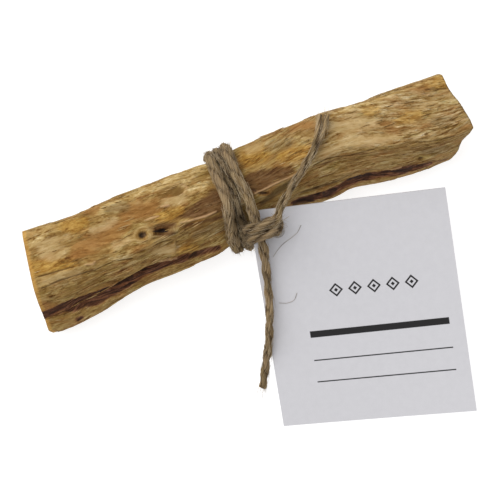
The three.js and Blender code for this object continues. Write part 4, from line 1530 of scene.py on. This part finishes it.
def card_corner(rightward, upward):
    """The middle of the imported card's thickness at one of its corners."""
    score = tag_places @ (CARD_ACROSS * rightward + CARD_UP * upward)
    nearest = tag_places[np.argsort(-score)]
    near_corner = nearest[np.linalg.norm(nearest - nearest[0], axis=1) < 2 * CARD_THICKNESS]
    return (near_corner.min(0) + near_corner.max(0)) / 2


top_left, top_right = card_corner(-1, 1), card_corner(1, 1)
low_left, low_right = card_corner(-1, -1), card_corner(1, -1)
card_width = np.linalg.norm(top_right - top_left)
card_height = np.linalg.norm(low_left - top_left)
print("card", round(card_width / MM, 1), "by", round(card_height / MM, 1), "mm")


def written(bm, mesh):
    """The edited mesh, kept in a mesh of the scene."""
    bm.to_mesh(mesh)
    bm.free()
    return mesh


def slab_mesh():
    """A flat slab of card: x across from its left edge, y down from its top edge."""
    bm = bmesh.new()
    cells_across = round(card_width / CARD_CELL)
    cells_down = round(card_height / CARD_CELL)
    bmesh.ops.create_grid(bm, x_segments=cells_across, y_segments=cells_down, size=0.5)
    for corner in bm.verts:
        corner.co.x = (corner.co.x + 0.5) * card_width
        corner.co.y = (corner.co.y + 0.5) * card_height
        corner.co.z = -CARD_THICKNESS / 2
    grown = bmesh.ops.extrude_face_region(bm, geom=bm.faces[:])["geom"]
    for corner in grown:
        if isinstance(corner, bmesh.types.BMVert):
            corner.co.z = CARD_THICKNESS / 2
    bmesh.ops.recalc_face_normals(bm, faces=bm.faces[:])
    return written(bm, bpy.data.meshes.new("slab"))


def punch_mesh():
    """A round bar through the hole's place."""
    bm = bmesh.new()
    bmesh.ops.create_cone(bm, cap_ends=True, segments=HOLE_SIDES, radius1=HOLE_RADIUS,
                          radius2=HOLE_RADIUS, depth=4 * CARD_THICKNESS)
    bmesh.ops.translate(bm, verts=bm.verts[:], vec=(*HOLE_PLACE, 0))
    return written(bm, bpy.data.meshes.new("punch"))


slab = added("slab", slab_mesh())
punch = added("punch", punch_mesh())
cut = slab.modifiers.new("hole", "BOOLEAN")
cut.object = punch
cut.operation = "DIFFERENCE"
cut.solver = "EXACT"
tag_mesh = mesh_of(slab, "tag")
bpy.data.objects.remove(punch)
print("card faces", len(tag_mesh.polygons))

# %% The card, leaned on the wood
WAVE_HEIGHT = 0.18 * MM
WAVES_DOWN = 1.3
CARD_FOOT = 0.02 * MM

tag = added("tag", tag_mesh)
flat = vertices_of(tag)
card = tag_mesh.attributes.new("card", "FLOAT_VECTOR", "POINT")
card.data.foreach_set("vector", flat.astype(np.float32).ravel())
across, down = flat[:, :1] / card_width, flat[:, 1:2] / card_height
top = top_left + (top_right - top_left) * across
low = low_left + (low_right - low_left) * across
sides = (low_left - top_left) * (1 - across) + (low_right - top_right) * across
rows = (top_right - top_left) * (1 - down) + (low_right - low_left) * down
card_normal = np.cross(sides, rows)
card_normal /= np.linalg.norm(card_normal, axis=1, keepdims=True)
wave = WAVE_HEIGHT * np.sin(math.pi * across) * np.sin(WAVES_DOWN * math.pi * down)
leaned = top * (1 - down) + low * down + card_normal * (flat[:, 2:] + wave)
leaned[:, 2] = np.maximum(leaned[:, 2], CARD_FOOT)
tag_mesh.vertices.foreach_set("co", leaned.ravel())
bm = bmesh.new()
bm.from_mesh(tag_mesh)
bmesh.ops.recalc_face_normals(bm, faces=bm.faces[:])
written(bm, tag_mesh)
print("tag lies from", np.round(leaned.min(0) / MM, 1), "to", np.round(leaned.max(0) / MM, 1))

# %% [markdown]
# The card is smooth, cool white board. What is printed on it is this script's own: a row of plain
# diamonds, as on old borders, over three ruled lines to write on. The print is worked out in the
# material from each point's place on the card, so it stays sharp at any size.

# %% The card's material
INK = rgb(34, 33, 34)
INK_EDGE = 0.05 * MM
PRINT_MIDDLE = 24.5 * MM
DIAMONDS = 5
DIAMONDS_DOWN = 19.5 * MM
DIAMOND_PITCH = 4.2 * MM
DIAMOND_HALF = 1.55 * MM
DIAMOND_INSIDE = 0.66
DIAMOND_CORE = 0.3
# How far down each line is, its half length and its half thickness.
RULES = [
    (29.0 * MM, 15.5 * MM, 0.75 * MM), (35.0 * MM, 15.5 * MM, 0.14 * MM),
    (40.0 * MM, 15.5 * MM, 0.14 * MM),
]
CARD_BUMP = 0.02 * MM


def card_material():
    """Coated board with a plain printed ornament."""
    material, tree, shader = new_material("tag_card", 0.7, 0.3)

    def inked(distance, reach):
        inside = maths(tree, "SUBTRACT", reach, distance)
        return remap(tree, inside, -INK_EDGE, INK_EDGE)

    def apart(value, middle):
        return maths(tree, "ABSOLUTE", maths(tree, "SUBTRACT", value, middle))

    spot = add_node(tree, "ShaderNodeSeparateXYZ", {0: attribute(tree, "card", "Vector")}).outputs
    sideways = apart(spot[0], PRINT_MIDDLE)
    ink = 0.0
    for depth, half_length, half_thickness in RULES:
        rule = inked(apart(spot[1], depth), half_thickness)
        ink = maths(tree, "MAXIMUM", ink, maths(tree, "MULTIPLY", rule, inked(sideways, half_length)))
    from_middle = maths(tree, "SUBTRACT", spot[0], PRINT_MIDDLE)
    wrapped = maths(tree, "WRAP", from_middle, DIAMOND_PITCH / 2, -DIAMOND_PITCH / 2)
    out = maths(tree, "ADD", maths(tree, "ABSOLUTE", wrapped), apart(spot[1], DIAMONDS_DOWN))
    inside = inked(out, DIAMOND_HALF * DIAMOND_INSIDE)
    diamond = maths(tree, "SUBTRACT", inked(out, DIAMOND_HALF), inside)
    diamond = maths(tree, "MAXIMUM", diamond, inked(out, DIAMOND_HALF * DIAMOND_CORE))
    row = inked(sideways, DIAMOND_PITCH * DIAMONDS / 2)
    ink = maths(tree, "MAXIMUM", ink, maths(tree, "MULTIPLY", diamond, row))
    ink = maths(tree, "MULTIPLY", ink, remap(tree, spot[2], 0.0, CARD_THICKNESS / 4))

    place = object_place(tree)
    mottle = noise(tree, place, 700.0, 4.0, 0.6, 1.0)
    board = mixed(tree, remap(tree, mottle, 0.35, 0.65), rgb(205, 204, 208), rgb(208, 207, 211))
    tree.links.new(mixed(tree, ink, board, INK), shader.inputs["Base Color"])
    bumped(tree, shader, noise(tree, place, 5000.0, 3.0, 0.6, 2.0), CARD_BUMP)
    return material


tag_mesh.materials.clear()
tag_mesh.materials.append(card_material())

# %% [markdown]
# ## Light and floor
#
# The photograph is a product shot on white: soft light from all round, a little stronger from the
# upper left, so the front of the stick and the right of each strand are the darker sides. A bright
# world gives the first and one large lamp gives the second. The white floor glows by itself, except
# for a small soft round of painted shadow under the tag's hole, where its glow is turned down.

# %% The studio
FLOOR_HALF = 1.5
FLOOR_GLOW = 0.76
FLOOR_GREY = 168
UNDER_HOLE = (6.9, 1.9)
SHADE_RADIUS = (1.5 * MM, 3.2 * MM)
HOLE_GLOW = 0.05
WORLD_STRENGTH = 0.56
KEY_PLACE = np.array([-0.35, 0.55, 0.9])
KEY_SIZE = 1.3
KEY_POWER = 11.0

floor_mesh = bpy.data.meshes.new("floor")
floor_mesh.from_pydata([
    (-FLOOR_HALF, -FLOOR_HALF, 0), (FLOOR_HALF, -FLOOR_HALF, 0),
    (FLOOR_HALF, FLOOR_HALF, 0), (-FLOOR_HALF, FLOOR_HALF, 0),
], [], [(0, 1, 2, 3)])
floor = added("floor", floor_mesh)
floor_material, floor_tree, floor_shader = new_material("white_floor", 0.9)
floor_shader.inputs["Base Color"].default_value = rgb(FLOOR_GREY, FLOOR_GREY, FLOOR_GREY)
floor_shader.inputs["Emission Color"].default_value = rgb(255, 255, 255)
# Painted shadow: the floor's glow is turned down in a soft round under the tag's hole.
hole_foot = tuple(placed([(*UNDER_HOLE, 0)])[0])
from_foot = length_of(floor_tree, vectors(floor_tree, "SUBTRACT", object_place(floor_tree), hole_foot))
glow = remap(floor_tree, from_foot, *SHADE_RADIUS, HOLE_GLOW, FLOOR_GLOW, "SMOOTHSTEP")
floor_tree.links.new(glow, floor_shader.inputs["Emission Strength"])
floor_mesh.materials.append(floor_material)

world = bpy.data.worlds.new("studio")
bpy.context.scene.world = world
world.use_nodes = True
sky = next(node for node in world.node_tree.nodes if node.type == "BACKGROUND")
sky.inputs["Color"].default_value = (1, 1, 1, 1)
sky.inputs["Strength"].default_value = WORLD_STRENGTH
bpy.context.scene.view_settings.view_transform = "Standard"

key_data = bpy.data.lights.new("key", "AREA")
key_data.shape = "DISK"
key_data.size = KEY_SIZE
key_data.energy = KEY_POWER
key = added("key", key_data)
key.location = KEY_PLACE
key.rotation_euler = Vector(MIDDLE - KEY_PLACE).to_track_quat("-Z", "Y").to_euler()
print("light from", KEY_PLACE)

# %% [markdown]
# ## Fitted to the frame
#
# Each new piece rides on the imported body, and each of the three main pieces hides the imported
# node that it stands for.

# %% The pieces and the frame
PIECES = [
    (wood, "wood_stick", "palo_santo_wood"), (tag, "paper_tag", "tag_card"), (twine, "jute_twine", "jute"),
]
for thing, node, slot in PIECES:
    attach(thing, "root")
    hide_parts(node)
for thing, slot in ((fuzz, "jute"), (stray, "jute"), (slivers, "palo_santo_wood")):
    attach(thing, "root")
